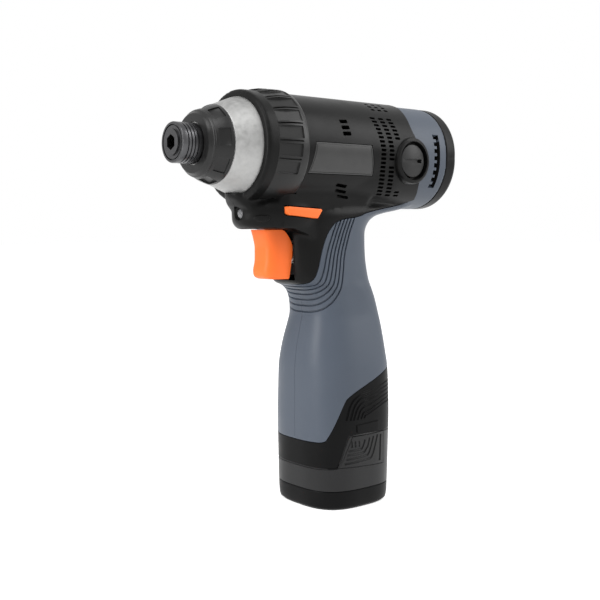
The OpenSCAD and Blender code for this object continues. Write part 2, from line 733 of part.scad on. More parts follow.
// Point of a cam ball's path on the spindle, as a share of the hammer's travel to one side of the V
cam_steps = 3;
function cam_point(t, side) = [cam_rad * cos(side * hammer_turn * t), cam_rad * sin(side * hammer_turn * t),
    cam_x - hammer_travel * t];
// Rod between two points, run on at both ends
module rod(from, to, r, extra) {
    d = to - from;
    translate(from - extra * unit(d)) rotate([0, acos(unit(d)[2]), atan2(d[1], d[0])])
        cylinder(r = r, h = norm(d) + 2 * extra);
}
planet_rad = gear_m * (sun_teeth + planet_teeth) / 2;
pin_r = 2.5;
carrier_r = 17.8;
module cam_grooves(side) for (a = [0, 180], i = [0:cam_steps - 1]) rotate([0, 0, a])
    rod(cam_point(i / cam_steps, side), cam_point((i + 1) / cam_steps, side),
        cam_ball_r + 2 * cam_clear, slide_gap);
module spindle() color(steel) axial() difference() {
    union() {
        translate([0, 0, carrier_x]) cylinder(r = carrier_r, h = carrier_t);
        translate([0, 0, carrier_x]) cylinder(r = spindle_r, h = flange_x - slide_gap - carrier_x);
        translate([0, 0, carrier_x])
            cylinder(r = pilot_r, h = flange_x + pilot_len - slide_gap - carrier_x);
    }
    for (i = [0:planets - 1]) rotate([0, 0, i * 360 / planets]) translate([planet_rad, 0, carrier_x - over])
        cylinder(r = pin_r, h = carrier_t);
    cam_grooves(1);
    cam_grooves(-1);
    for (a = [0, 180], t = [-1, 0, 1]) rotate([0, 0, a + t * hammer_turn])
        translate([cam_rad - cam_ball_r - cam_clear, 0, cam_x - abs(t) * hammer_travel]) rotate([0, 90, 0])
            cylinder(r = cam_ball_r + 2 * cam_clear, h = spindle_r);
}
module planet_pins() color(steel) axial(ring_x + gear_gap) for (i = [0:planets - 1])
    rotate([0, 0, i * 360 / planets]) translate([planet_rad, 0, 0])
        cylinder(r = pin_r, h = carrier_x + carrier_t - over - ring_x - gear_gap);

// Involute gears
pressure = 25;
backlash = 0.16;
flank_steps = 4;
root_share = 1.2;
function inv(a) = tan(a) * 180 / PI - a;
function flank_turn(z, r, thin) = let (base = gear_m * z / 2 * cos(pressure), rp = gear_m * z / 2)
    90 / z - thin / rp * 180 / PI / 2 + inv(pressure) - inv(acos(min(1, base / max(r, base))));
function gear_outline(z, tip, root, thin) = [for (t = [0:z - 1], k = [0:2 * flank_steps + 1])
    let (up = k <= flank_steps, j = up ? k : 2 * flank_steps + 1 - k,
        r = root + (tip - root) * j / flank_steps,
        a = 360 * t / z + (up ? -1 : 1) * flank_turn(z, r, thin))
    [r * cos(a), r * sin(a)]];
module gear(z, width) linear_extrude(width) polygon(gear_outline(z, gear_m * (z / 2 + 1),
    gear_m * (z / 2 - root_share), backlash / 2));
ring_teeth = sun_teeth + 2 * planet_teeth;
planet_play = 0.4;
module planet_gear(i) color(steel) axial(ring_x + planet_play) rotate([0, 0, i * 360 / planets])
    translate([planet_rad, 0, 0]) rotate([0, 0, 180 / planet_teeth]) difference() {
        gear(planet_teeth, ring_w - planet_play);
        translate([0, 0, -over]) cylinder(r = pin_r + run_fit, h = ring_w + 2 * over);
    }
module planet_gear_1() planet_gear(0);
module planet_gear_2() planet_gear(1);
module planet_gear_3() planet_gear(2);
module ring_gear() color(dark_steel) axial(ring_x) difference() {
    cylinder(r = case_skirt_r, h = ring_w);
    translate([0, 0, -over]) linear_extrude(ring_w + 2 * over) rotate(180 / ring_teeth)
        polygon(gear_outline(ring_teeth, gear_m * (ring_teeth / 2 + root_share),
            gear_m * (ring_teeth / 2 - 1), -backlash / 2));
}
module gearbox_plate() color(steel) axial(plate_x) difference() {
    cylinder(r = case_skirt_r, h = plate_t);
    translate([0, 0, -over]) cylinder(r = bearing_r, h = bearing_w + over);
    translate([0, 0, -over]) cylinder(r = shaft_r + over, h = plate_t + 2 * over);
}
module carrier_bush() color(brass) axial(case_rear_x + gear_gap)
    ring(case_bore_r, carrier_r + run_fit, carrier_t);

// Motor
pinion_len = ring_w - gear_gap;
module motor_pinion() color(steel) axial(ring_x + gear_gap) difference() {
    gear(sun_teeth, pinion_len - gear_gap);
    translate([0, 0, -over]) cylinder(r = shaft_r, h = ring_w + 2 * over);
}
shaft_back_x = web_x + over / 2;
module motor_shaft() color(steel) axial(shaft_back_x)
    cylinder(r = shaft_r, h = ring_x + pinion_len - shaft_back_x);
core_len = 20;
core_x = can_x + (can_len - core_len) / 2;
slot_w = 2.2;
slot_depth = 6;
module armature_core() color(dark_steel) axial(core_x) difference() {
    cylinder(r = core_r, h = core_len);
    translate([0, 0, -over]) cylinder(r = shaft_r, h = core_len + 2 * over);
    for (i = [0:armature_teeth - 1]) rotate([0, 0, i * 360 / armature_teeth])
        translate([core_r - slot_depth, -slot_w / 2, -over])
            cube([slot_depth + over, slot_w, core_len + 2 * over]);
}
winding_len = 4;
winding_r = 12;
module armature_winding() color(copper) axial(core_x)
    for (z = [-winding_len, core_len]) translate([0, 0, z])
    difference() {
        ring(winding_r, shaft_r, winding_len);
        for (i = [0:armature_teeth - 1]) rotate([0, 0, (i + 1 / 2) * 360 / armature_teeth])
            translate([winding_r - slot_w / 2, -slot_w / 4, -over])
                cube([slot_w, slot_w / 2, winding_len + 2 * over]);
    }
commutator_len = 13;
commutator_x = brush_x - commutator_len / 2;
bar_gap = 0.5;
module commutator() color(copper) axial(commutator_x) difference() {
    ring(commutator_r, shaft_r, commutator_len);
    for (i = [0:armature_teeth - 1]) rotate([0, 0, i * 360 / armature_teeth])
        translate([commutator_r - over, -bar_gap / 2, -over])
            cube([2 * over, bar_gap, commutator_len + 2 * over]);
}
fan_gap = 2;
fan_x = can_x + can_len + fan_gap;
fan_w = 6;
fan_r = 17;
fan_hub_r = 6;
fan_disc = 1.4;
fan_blades = 9;
blade_t = 1.2;
blade_turn = 20;
module motor_fan() color(black) axial(fan_x) difference() {
    union() {
        cylinder(r = fan_r, h = fan_disc);
        cylinder(r = fan_hub_r, h = fan_w);
        intersection() {
            cylinder(r = fan_r, h = fan_w);
            for (i = [0:fan_blades - 1]) rotate([0, 0, i * 360 / fan_blades])
                translate([fan_hub_r - over, 0, 0]) rotate([0, 0, blade_turn])
                    cube([fan_r, blade_t, fan_w]);
        }
    }
    translate([0, 0, -over]) cylinder(r = shaft_r, h = fan_w + 2 * over);
}
module motor_bearings() color(steel) {
    axial(web_x + web_t - bearing_w) ring(bearing_r, shaft_r + run_fit, bearing_w);
    axial(plate_x) ring(bearing_r, shaft_r + run_fit, bearing_w);
}
can_t = 2;
magnet_t = 3.6;
magnet_turn = 130;
module motor_can() color(steel) axial(can_x) ring(can_r, can_r - can_t, can_len);
module motor_magnets() color(dark_steel) axial(can_x + rib_w) for (a = [0, 180])
    rotate([0, 0, a - magnet_turn / 2]) rotate_extrude(angle = magnet_turn)
        translate([can_r - can_t - magnet_t, 0]) square([magnet_t - run_fit, can_len - 2 * rib_w]);
brush_l = 6;
brush_t = 5;
brush_tail_y = 17;
tube_root_y = 11;
module at_brush() translate([brush_x, 0, brush_z]) rotate([-90, 0, 0]) children();
module brush_tubes() color(brass) both_sides() at_brush() difference() {
    translate([0, 0, tube_root_y]) cylinder(r = tube_r, h = cap_seat_y - tube_root_y);
    translate([-brush_l / 2 - run_fit, -brush_t / 2 - run_fit, 0])
        cube([brush_l + 2 * run_fit, brush_t + 2 * run_fit, foot_w]);
}
module brushes() color(dark_steel) both_sides() difference() {
    at_brush() translate([-brush_l / 2, -brush_t / 2, 0]) cube([brush_l, brush_t, brush_tail_y]);
    axial(commutator_x - over) cylinder(r = commutator_r + run_fit, h = commutator_len + 2 * over);
}
brush_wire = 0.35;
brush_turns = 4;
brush_coil_r = 1.9;
module brush_springs() color(steel) both_sides() at_brush() translate([0, 0, brush_tail_y])
    coil(brush_coil_r, brush_wire, cap_seat_y - brush_tail_y, brush_turns);
slot_cap_w = 1.8;
slot_cap_d = 1.4;
module brush_caps() color(black) both_sides() at_brush() difference() {
    translate([0, 0, cap_seat_y]) cylinder(r = brush_cap_r, h = boss_y - cap_seat_y - over / 2);
    translate([-slot_cap_w / 2, -foot_w / 2, boss_y - over / 2 - slot_cap_d])
        cube([slot_cap_w, foot_w, foot_w]);
}

// Trigger, switch and selector
trigger_reach_x = 49;
trigger_back_x = 33;
trigger_top_z = chin_z - slide_gap;
trigger_h = trigger_top_z - trigger_z;
trigger_len = trigger_reach_x - trigger_back_x;
// Rings up the trigger: height, back and front
trigger_ring_shares = [[0, 0.17, 0.80], [0.04, 0.14, 0.89], [0.16, 0.11, 0.92], [0.40, 0.05, 0.86],
    [0.62, 0.02, 0.86], [0.82, 0.06, 0.92], [0.94, 0.24, 0.97], [1, 0.42, 1]];
trigger_plan_shares = [[0, -0.5], [0.74, -0.5], [0.90, -0.43], [0.97, -0.30], [1, 0], [0.97, 0.30],
    [0.90, 0.43], [0.74, 0.5], [0, 0.5]];
function trigger_rings() = [for (s = trigger_ring_shares) [for (p = trigger_plan_shares)
    [trigger_back_x + (s[1] + p[0] * (s[2] - s[1])) * trigger_len, p[1] * trigger_w,
     trigger_z + s[0] * trigger_h]]];
plunger_x = 14;
plunger_h = 6;
plunger_w = 6;
plunger_rise = 13;
plunger_z = trigger_z + plunger_rise;
switch_x = -2;
switch_front_x = 25;
switch_rise = 1.5;
switch_low_z = trigger_z + switch_rise;
switch_top_z = chin_z - 2 * trigger_gap;
spring_pocket = 3;
trigger_coil_r = 5.4;
trigger_wire = 0.45;
trigger_turns = 4;
module trigger() color(orange) difference() {
    union() {
        loft(trigger_rings());
        translate([plunger_x, -plunger_w / 2, plunger_z - plunger_h / 2])
            cube([trigger_back_x + spring_pocket + over - plunger_x, plunger_w, plunger_h]);
    }
    translate([trigger_back_x - over, 0, plunger_z]) rotate([0, 90, 0])
        ring(trigger_coil_r + 2 * trigger_wire, trigger_coil_r - 2 * trigger_wire, spring_pocket + over);
}
module trigger_spring() color(steel) translate([switch_front_x, 0, plunger_z]) rotate([0, 90, 0])
    coil(trigger_coil_r, trigger_wire, trigger_back_x + spring_pocket - switch_front_x, trigger_turns);
module switch_body() color(dark_steel) difference() {
    translate([switch_x, -switch_w / 2, switch_low_z])
        cube([switch_front_x - switch_x, switch_w, switch_top_z - switch_low_z]);
    translate([plunger_x - trigger_travel - slide_gap, -plunger_w / 2 - slide_gap,
        plunger_z - plunger_h / 2 - slide_gap])
        cube([switch_front_x, plunger_w + 2 * slide_gap, plunger_h + 2 * slide_gap]);
}
neck_half_share = 0.35;
selector_y = neck_half_share * foot_w + selector_travel / 2;
selector_waist = 6;
selector_pad = 8;
module direction_selector() color(orange) difference() {
    side_prism(selector_outline(0), -selector_y, selector_y);
    for (x = [selector_back_x - over, selector_front_x - selector_waist])
        translate([x, -selector_y + selector_pad, 0])
            cube([selector_waist + over, 2 * (selector_y - selector_pad), axis_h]);
}
module led_lens() color([0.95, 0.95, 0.9]) translate([lens_x, 0, lens_z]) rotate([0, 90, 0])
    cylinder(r = lens_r, h = chin_x - lens_x - slide_gap);
board_t = 1.2;
module led_board() color([0.1, 0.4, 0.2]) translate([lens_x - board_t, -2 * lens_r, lens_z - lens_r])
    cube([board_t, 4 * lens_r, 2 * lens_r]);
block_t = 3;
block_d = 16;
block_w = 33;
blade_len = 17;
blade_w = 5;
module terminal_block() color(dark_steel) {
    translate([-block_d / 2, -block_w / 2, block_z]) cube([block_d, block_w, block_t]);
    for (y = [-1, 0, 1]) translate([-blade_w / 2, y * blade_w - board_t / 2, block_z - blade_len])
        cube([blade_w, board_t, blade_len]);
}

// Battery
stem_r = 21;
cell_gap = 0.2;
cell_rad = (2 * cell_r + cell_gap) / sqrt(3);
stem_wall = stem_r - cell_rad - cell_r - run_fit;
stem_top = base_t + over + cell_len + wall;
block_rise = 21.2;
block_z = stem_top + block_rise;
foot_boss_r = 2.9;
foot_screw_r = 1.2;
foot_screw_len = 12;
foot_screw_head_r = 2.2;
foot_screw_at = 16.2;
button_shares = [[0.29, 0.122], [0.16, 0.205], [-0.26, 0.207], [-0.27, 0.115]];
function button_outline(c) = [for (i = [0:3]) [
    button_shares[i][0] * foot_d + (i < 2 ? c : -c),
    foot_z(button_shares[i][1]) + (i == 1 || i == 2 ? c : -c)]];
module battery_skin(inset, low, span = battery_span) intersection() {
    loft(closed(grip_rings(span, inset, 360, 2 * skin_points)));
    translate([-foot_d, -foot_w, low]) cube([2 * foot_d, 2 * foot_w, skin_h / 2]);
}
module foot_posts(r, from, to) for (x = [-1, 1], y = [-1, 1])
    translate([x * foot_screw_at - over, y * foot_screw_at, from]) cylinder(r = r, h = to - from);
module battery_case() color(black) difference() {
    union() {
        intersection() {
            difference() {
                battery_skin(0, base_rim);
                battery_skin(case_wall, base_rim - over);
            }
            battery_side(seam_gap);
        }
        translate([0, 0, base_t]) cylinder(r = stem_r, h = stem_top - base_t);
        intersection() {
            translate([-foot_d, -foot_w, base_rim]) cube([2 * foot_d, 2 * foot_w, case_wall]);
            battery_skin(case_wall / 2, base_t, base_span);
        }
        intersection() {
            foot_posts(foot_boss_r, base_t, base_t + foot_screw_len + wall);
            battery_skin(case_wall + slide_gap, base_t, base_span);
        }
    }
    translate([0, 0, base_t - over]) cylinder(r = stem_r - stem_wall, h = stem_top - base_t + 2 * over);
    foot_posts(foot_screw_r, base_t - over, base_t + foot_screw_len);
    both_sides() side_prism(button_outline(slide_gap), stem_r + run_fit, foot_w);
}
module battery_base() color(black) difference() {
    intersection() {
        battery_skin(0, -over, base_span);
        translate([-foot_d, -foot_w, 0]) cube([2 * foot_d, 2 * foot_w, base_rim]);
    }
    battery_skin(case_wall, base_t, base_span);
    foot_posts(foot_screw_r, -over, base_t + over);
    foot_posts(foot_screw_head_r + run_fit, -over, base_t / 2);
}
module battery_cells() color([0.25, 0.45, 0.35]) for (i = [0:2]) rotate([0, 0, i * 120])
    translate([cell_rad, 0, base_t]) cylinder(r = cell_r, h = cell_len);
tower_d = 18;
tower_w = 16;
tower_h = 12;
module battery_cap() color(black) difference() {
    union() {
        translate([0, 0, base_t + cell_len])
            cylinder(r = stem_r - stem_wall - run_fit, h = stem_top - base_t - cell_len);
        translate([-tower_d / 2, -tower_w / 2, base_t + cell_len]) cube([tower_d, tower_w, wall + tower_h]);
    }
    for (y = [-1, 0, 1]) translate([-blade_w / 2 - over, y * blade_w - board_t, stem_top])
        cube([blade_w + 2 * over, 2 * board_t, tower_h + over]);
}
contact_t = 0.4;
module battery_contacts() color(brass) for (y = [-1, 0, 1])
    translate([-blade_w / 2, y * blade_w + board_t - contact_t, stem_top])
        cube([blade_w, contact_t, tower_h - over]);
module battery_screws() color(dark_steel) {
    foot_posts(foot_screw_r, base_t / 4, base_t + foot_screw_len - over);
    foot_posts(foot_screw_head_r, base_t / 6, base_t / 2);
}
button_t = 2.2;
release_coil_r = 2;
release_wire = 0.22;
release_turns = 3;
release_pocket = 1;
release_x_share = 0.01;
release_z_share = 0.163;
module at_release() translate([release_x_share * foot_d, 0, foot_z(release_z_share)])
    rotate([-90, 0, 0]) children();
button_root_y = stem_r + release_travel + slide_gap;
module release_button() difference() {
    intersection() {
        battery_skin(0, base_t, button_span);
        side_prism(button_outline(0), button_root_y, foot_w);
    }
    at_release() cylinder(r = release_coil_r + 2 * release_wire, h = button_root_y + release_pocket);
}
module release_spring() at_release() translate([0, 0, stem_r])
    coil(release_coil_r, release_wire, button_root_y + release_pocket - stem_r, release_turns);
module release_button_left() color(black) release_button();
module release_button_right() color(black) mirror([0, 1, 0]) release_button();
module release_spring_left() color(steel) release_spring();
module release_spring_right() color(steel) mirror([0, 1, 0]) release_spring();

left_body();
right_body();
left_barrel();
right_barrel();
rear_cap();
front_collar();
name_plate();
housing_screws();
hammer_case();
nose_bumper();
anvil_bush();
anvil_seal();
anvil();
lock_balls();
bit_sleeve();
sleeve_spring();
sleeve_washer();
sleeve_ring();
hammer();
cam_balls();
hammer_spring();
spring_washer();
spindle();
planet_pins();
planet_gear_1();
planet_gear_2();
planet_gear_3();
ring_gear();
gearbox_plate();
carrier_bush();
motor_pinion();
motor_shaft();
armature_core();
armature_winding();
commutator();
motor_fan();
motor_bearings();
motor_can();
motor_magnets();
brush_tubes();
brushes();
brush_springs();
brush_caps();
switch_body();
trigger();
trigger_spring();
direction_selector();
led_lens();
led_board();
terminal_block();
battery_case();
battery_base();
battery_cells();
battery_cap();
battery_contacts();
battery_screws();
release_button_left();
release_button_right();
release_spring_left();
release_spring_right();
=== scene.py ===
# Cordless impact driver with a stick battery in its grip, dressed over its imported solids.
# Sizes are in millimetres in the tables below and go through MM where a mesh is made.
# X runs forwards along the barrel, Y to the left and Z up from the floor.
import json
import math

import bpy
from mathutils import Matrix, Vector


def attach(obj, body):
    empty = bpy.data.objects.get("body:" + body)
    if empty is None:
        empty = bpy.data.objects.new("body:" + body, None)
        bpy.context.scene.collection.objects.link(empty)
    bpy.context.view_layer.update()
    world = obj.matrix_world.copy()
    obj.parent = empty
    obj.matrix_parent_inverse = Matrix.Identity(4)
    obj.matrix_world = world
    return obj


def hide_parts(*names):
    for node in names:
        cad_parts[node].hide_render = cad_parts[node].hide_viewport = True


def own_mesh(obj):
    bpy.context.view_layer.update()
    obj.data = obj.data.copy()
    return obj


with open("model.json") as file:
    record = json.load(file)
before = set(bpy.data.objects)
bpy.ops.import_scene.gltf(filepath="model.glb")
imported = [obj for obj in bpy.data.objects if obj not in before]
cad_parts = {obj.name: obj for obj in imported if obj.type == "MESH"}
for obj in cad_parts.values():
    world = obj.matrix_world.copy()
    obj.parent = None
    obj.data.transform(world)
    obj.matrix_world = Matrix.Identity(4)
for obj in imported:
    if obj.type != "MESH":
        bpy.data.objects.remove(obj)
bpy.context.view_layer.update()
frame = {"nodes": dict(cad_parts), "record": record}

MM = 0.001
# Barrel: height of its axis, radii, the lower axis of its rear end, and where cap and collar begin
AXIS_Z = 181.0
BORE_R = 22.65
BARREL_R = 26.8
BAND_R = 26.0
REAR_Z = 178.2
HEAD_X = 68.0
CAP_X = -59.0
COLLAR_X = 38.0
# Grip and chin: what the ring tables are shares of, and how square the outlines are
FOOT_D = 52.0
FOOT_W = 52.0
CHIN_X = 60.0
CHIN_Z = 141.5
CHIN_BACK = 0.2 * CHIN_X
GRIP_POWER = 3.0
CHIN_POWER = 2.2
GRIP_TOP = 160.2
WALL = 2.8
# Half of the gap between black and grey shells, and of the one between left and right
EDGE_GAP = 0.22
SPLIT_GAP = 0.08
# Middles of smaller parts
BOSS_X, BOSS_Z = -31.8, 176.5
LENS_Z = 149.0
PLUNGER_Z = 130.0
# Steps round a large, a middling and a small turned form, and the cell of the remeshed skins
FINE, ROUND, SMALL = 160, 96, 48
SKIN_CELL = 0.85
UPRIGHT = dict(axis=(0, 0, 1), up=(1, 0, 0))


# Modelling helpers
def deselect():
    current = bpy.context.view_layer.objects.active
    if current is not None and current.mode != "OBJECT":
        bpy.ops.object.mode_set(mode="OBJECT")
    bpy.ops.object.select_all(action="DESELECT")


def pick(obj):
    deselect()
    obj.select_set(True)
    bpy.context.view_layer.objects.active = obj


def edit(obj):
    pick(obj)
    bpy.ops.object.mode_set(mode="EDIT")
    bpy.ops.mesh.select_all(action="SELECT")


def done(obj):
    bpy.ops.object.mode_set(mode="OBJECT")
    return obj


def named(name):
    obj = bpy.context.object
    obj.name = name
    obj.data.name = name
    return obj


def face_outwards(obj):
    edit(obj)
    bpy.ops.mesh.remove_doubles(threshold=0.00001)
    bpy.ops.mesh.dissolve_degenerate(threshold=0.000005)
    bpy.ops.mesh.select_all(action="SELECT")
    bpy.ops.mesh.normals_make_consistent(inside=False)
    return done(obj)


def prism(name, outline, low, high):
    """A side outline of (x, z) points pushed through from y = low to y = high."""
    deselect()
    bpy.ops.mesh.primitive_circle_add(vertices=len(outline), radius=1.0, fill_type="NGON")
    obj = named(name)
    for vertex, (x, z) in zip(obj.data.vertices, outline):
        vertex.co = (x * MM, low * MM, z * MM)
    edit(obj)
    push = (0.0, (high - low) * MM, 0.0)
    bpy.ops.mesh.extrude_region_move(TRANSFORM_OT_translate={"value": push})
    return face_outwards(done(obj))


def turned(name, profile, steps=FINE, centre=(0.0, 0.0, AXIS_Z), axis=(1, 0, 0), up=(0, 0, 1)):
    """A closed profile of (along, radius) points spun once round an axis."""
    deselect()
    bpy.ops.mesh.primitive_circle_add(vertices=len(profile), radius=1.0, fill_type="NOTHING")
    obj = named(name)
    for vertex, (along, radius) in zip(obj.data.vertices, profile):
        vertex.co = (Vector(centre) + along * Vector(axis) + radius * Vector(up)) * MM
    edit(obj)
    bpy.ops.mesh.spin(steps=steps, angle=2 * math.pi, center=Vector(centre) * MM, axis=axis)
    return face_outwards(done(obj))


def plain_cylinder(name, low, high, radius, steps=ROUND, **place):
    return turned(name, [(low, 0.0), (low, radius), (high, radius), (high, 0.0)], steps, **place)


def block(name, centre, size, turn=(0.0, 0.0, 0.0)):
    deselect()
    bpy.ops.mesh.primitive_cube_add(size=1.0, location=Vector(centre) * MM, rotation=turn)
    obj = named(name)
    obj.scale = Vector(size) * MM
    bpy.ops.object.transform_apply(location=True, rotation=True, scale=True)
    return obj


def tube(name, points, radius, sides=2):
    """A round rod that follows points in millimetres."""
    curve = bpy.data.curves.new(name, "CURVE")
    curve.dimensions = "3D"
    curve.bevel_depth = radius * MM
    curve.bevel_resolution = sides
    curve.use_fill_caps = True
    spline = curve.splines.new("POLY")
    spline.points.add(len(points) - 1)
    for spot, point in zip(spline.points, points):
        spot.co = (point[0] * MM, point[1] * MM, point[2] * MM, 1.0)
    obj = bpy.data.objects.new(name, curve)
    bpy.context.collection.objects.link(obj)
    pick(obj)
    bpy.ops.object.convert(target="MESH")
    return face_outwards(bpy.context.object)


def joined(name, parts):
    deselect()
    for part in parts:
        part.select_set(True)
    bpy.context.view_layer.objects.active = parts[0]
    if len(parts) > 1:
        bpy.ops.object.join()
    return named(name)


def copied(obj, name):
    pick(obj)
    bpy.ops.object.duplicate(linked=False)
    return named(name)


def both_sides(parts):
    """The parts, and their mirror images on the right side."""
    twins = []
    for part in parts:
        twin = copied(part, part.name + "_twin")
        twin.scale = (1.0, -1.0, 1.0)
        bpy.ops.object.transform_apply(location=False, rotation=False, scale=True)
        edit(twin)
        bpy.ops.mesh.normals_make_consistent(inside=False)
        twins.append(done(twin))
    return parts + twins


def carve(body, tool, operation="DIFFERENCE", keep=False):
    """Cuts, joins or limits a body with a tool.

    What the quick solver leaves as it was goes to the exact one.
    """
    for solver in ("MANIFOLD", "EXACT"):
        before = len(body.data.vertices)
        cut = body.modifiers.new("carve", "BOOLEAN")
        cut.object = tool
        cut.operation = operation
        cut.solver = solver
        pick(body)
        bpy.ops.object.modifier_apply(modifier=cut.name)
        if len(body.data.vertices) != before:
            break
    if not keep:
        bpy.data.objects.remove(tool, do_unlink=True)
    return body


def soften(obj, width, segments=2, angle=35.0):
    bevel = obj.modifiers.new("soften", "BEVEL")
    bevel.width = width * MM
    bevel.segments = segments
    bevel.limit_method = "ANGLE"
    bevel.angle_limit = math.radians(angle)
    pick(obj)
    bpy.ops.object.modifier_apply(modifier=bevel.name)
    return obj


def remeshed(obj, rounds):
    """One closed skin over joined solids, with its corners rubbed down."""
    skin = obj.modifiers.new("skin", "REMESH")
    skin.mode = "VOXEL"
    skin.voxel_size = SKIN_CELL * MM
    rub = obj.modifiers.new("rub", "SMOOTH")
    rub.factor = 0.5
    rub.iterations = rounds
    pick(obj)
    bpy.ops.object.modifier_apply(modifier=skin.name)
    bpy.ops.object.modifier_apply(modifier=rub.name)
    return obj


def dress(obj, body, slot, node, finish=None, angle=35.0):
    """Gives a finished piece its shading and its finish (the slot's, unless another is named),
    hangs it on its body and hides the imported solid it stands in for.
    """
    pick(face_outwards(obj))
    bpy.ops.object.transform_apply(location=True, rotation=True, scale=True)
    bpy.ops.object.shade_smooth_by_angle(angle=math.radians(angle))
    obj.data.materials.clear()
    obj.data.materials.append(FINISH[finish or slot])
    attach(obj, body)
    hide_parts(node)
    return obj


def eased(points, rounds=2):
    """Corner cutting on an open list of points."""
    for _ in range(rounds):
        cut = [points[0]]
        for a, b in zip(points, points[1:]):
            cut.append(tuple(0.75 * p + 0.25 * q for p, q in zip(a, b)))
            cut.append(tuple(0.25 * p + 0.75 * q for p, q in zip(a, b)))
        cut.append(points[-1])
        points = cut
    return points


# The moulded skin
# Height share, back and front edge shares of the foot depth, half width share of the foot width
GRIP_RINGS = [
    (0.0, -0.470, 0.430, 0.455), (0.007, -0.495, 0.455, 0.480), (0.03, -0.505, 0.465, 0.490),
    (0.15, -0.515, 0.475, 0.500), (0.25, -0.520, 0.480, 0.505), (0.33, -0.520, 0.480, 0.495),
    (0.39, -0.515, 0.480, 0.480), (0.43, -0.500, 0.468, 0.458), (0.47, -0.485, 0.445, 0.430),
    (0.51, -0.465, 0.410, 0.400), (0.545, -0.440, 0.387, 0.375), (0.58, -0.405, 0.400, 0.365),
    (0.605, -0.370, 0.430, 0.362), (0.622, -0.345, 0.490, 0.360), (0.635, -0.335, 0.610, 0.356),
    (0.66, -0.315, 0.635, 0.350), (0.71, -0.290, 0.645, 0.342), (0.77, -0.285, 0.650, 0.338),
    (0.80, -0.330, 0.650, 0.345), (0.82, -0.440, 0.650, 0.350), (0.838, -0.800, 0.650, 0.335),
    (0.85, -1.000, 0.650, 0.300), (0.885, -1.020, 0.650, 0.260)]
# Height share over the chin's underside, front edge share of the chin's reach, half width share
CHIN_RINGS = [
    (0.0, 0.945, 0.300), (0.007, 0.975, 0.322), (0.025, 1.000, 0.336), (0.047, 1.000, 0.344),
    (0.067, 0.980, 0.330), (0.08, 0.950, 0.305), (0.10, 0.900, 0.270)]


def slope_at(rings, i, k):
    """How fast column k changes at ring i: nought at the ends and at turning points."""
    if i <= 0 or i >= len(rings) - 1:
        return 0.0
    before, after = ((rings[j + 1][k] - rings[j][k]) / (rings[j + 1][0] - rings[j][0])
                     for j in (i - 1, i))
    if before * after <= 0.0:
        return 0.0
    return 2.0 * before * after / (before + after)


def between_rings(rings, share):
    """Smooth values between the rings of a table, with no overshoot at its corners."""
    i = 0
    while i < len(rings) - 2 and share > rings[i + 1][0]:
        i += 1
    step = rings[i + 1][0] - rings[i][0]
    t = min(1.0, max(0.0, (share - rings[i][0]) / step))
    values = []
    for k in range(1, len(rings[0])):
        a, b = rings[i][k], rings[i + 1][k]
        m0, m1 = slope_at(rings, i, k) * step, slope_at(rings, i + 1, k) * step
        values.append(a * (2 * t ** 3 - 3 * t ** 2 + 1) + m0 * (t ** 3 - 2 * t ** 2 + t)
                      + b * (3 * t ** 2 - 2 * t ** 3) + m1 * (t ** 3 - t ** 2))
    return values


def signed_power(value, power):
    return math.copysign(abs(value) ** power, value)


def grip_ring(z):
    back, front, half = between_rings(GRIP_RINGS, z / AXIS_Z)
    return back * FOOT_D, front * FOOT_D, half * FOOT_W, GRIP_POWER


def chin_ring(z):
    front, half = between_rings(CHIN_RINGS, (z - CHIN_Z) / AXIS_Z)
    return CHIN_BACK, front * CHIN_X, half * FOOT_W, CHIN_POWER


def skin_point(ring, z, turn, inset=0.0):
    back, front, half, power = ring(z)
    back, front, half = back + inset, front - inset, half - inset
    return ((front + back) / 2 + (front - back) / 2 * signed_power(math.cos(turn), 2 / power),
            half * signed_power(math.sin(turn), 2 / power), z)


def turn_of(x, z):
    """The turn round the grip's skin, from its front, at which it stands at x."""
    back, front, _half, power = grip_ring(z)
    share = (x - (front + back) / 2) / ((front - back) / 2)
    share = max(-1.0, min(1.0, share))
    return math.acos(signed_power(share, power / 2))


def skin_solid(name, ring, low, high, inset=0.0, cuts=100, points=96):
    """A cylinder with many rings, each ring moved to the skin's outline at its height."""
    deselect()
    bpy.ops.mesh.primitive_cylinder_add(vertices=points, radius=1.0, depth=1.0,
                                        end_fill_type="NGON")
    obj = named(name)
    edit(obj)
    bpy.ops.mesh.select_mode(type="EDGE")
    bpy.ops.mesh.select_all(action="DESELECT")
    bpy.ops.object.mode_set(mode="OBJECT")
    for e in obj.data.edges:
        a, b = (obj.data.vertices[i].co.z for i in e.vertices)
        e.select = abs(a - b) > 0.5
    bpy.ops.object.mode_set(mode="EDIT")
    bpy.ops.mesh.subdivide(number_cuts=cuts)
    bpy.ops.mesh.select_mode(type="VERT")
    bpy.ops.object.mode_set(mode="OBJECT")
    for vertex in obj.data.vertices:
        share = vertex.co.z + 0.5
        turn = math.atan2(vertex.co.y, vertex.co.x)
        z = low + (high - low) * share
        vertex.co = Vector(skin_point(ring, z, turn, inset)) * MM
    return face_outwards(obj)


# Finishes: shared effects as groups, then one material for each finish
def new_group(name, inputs, outputs):
    """A shader group with number sockets only, and its two end nodes."""
    group = bpy.data.node_groups.new(name, "ShaderNodeTree")
    for label, value in inputs.items():
        socket = group.interface.new_socket(name=label, in_out="INPUT",
                                            socket_type="NodeSocketFloat")
        socket.default_value = value
    for label in outputs:
        group.interface.new_socket(name=label, in_out="OUTPUT", socket_type="NodeSocketFloat")
    return group, group.nodes.new("NodeGroupInput"), group.nodes.new("NodeGroupOutput")


def noise_node(group, detail):
    noise = group.nodes.new("ShaderNodeTexNoise")
    noise.inputs["Detail"].default_value = detail
    return noise


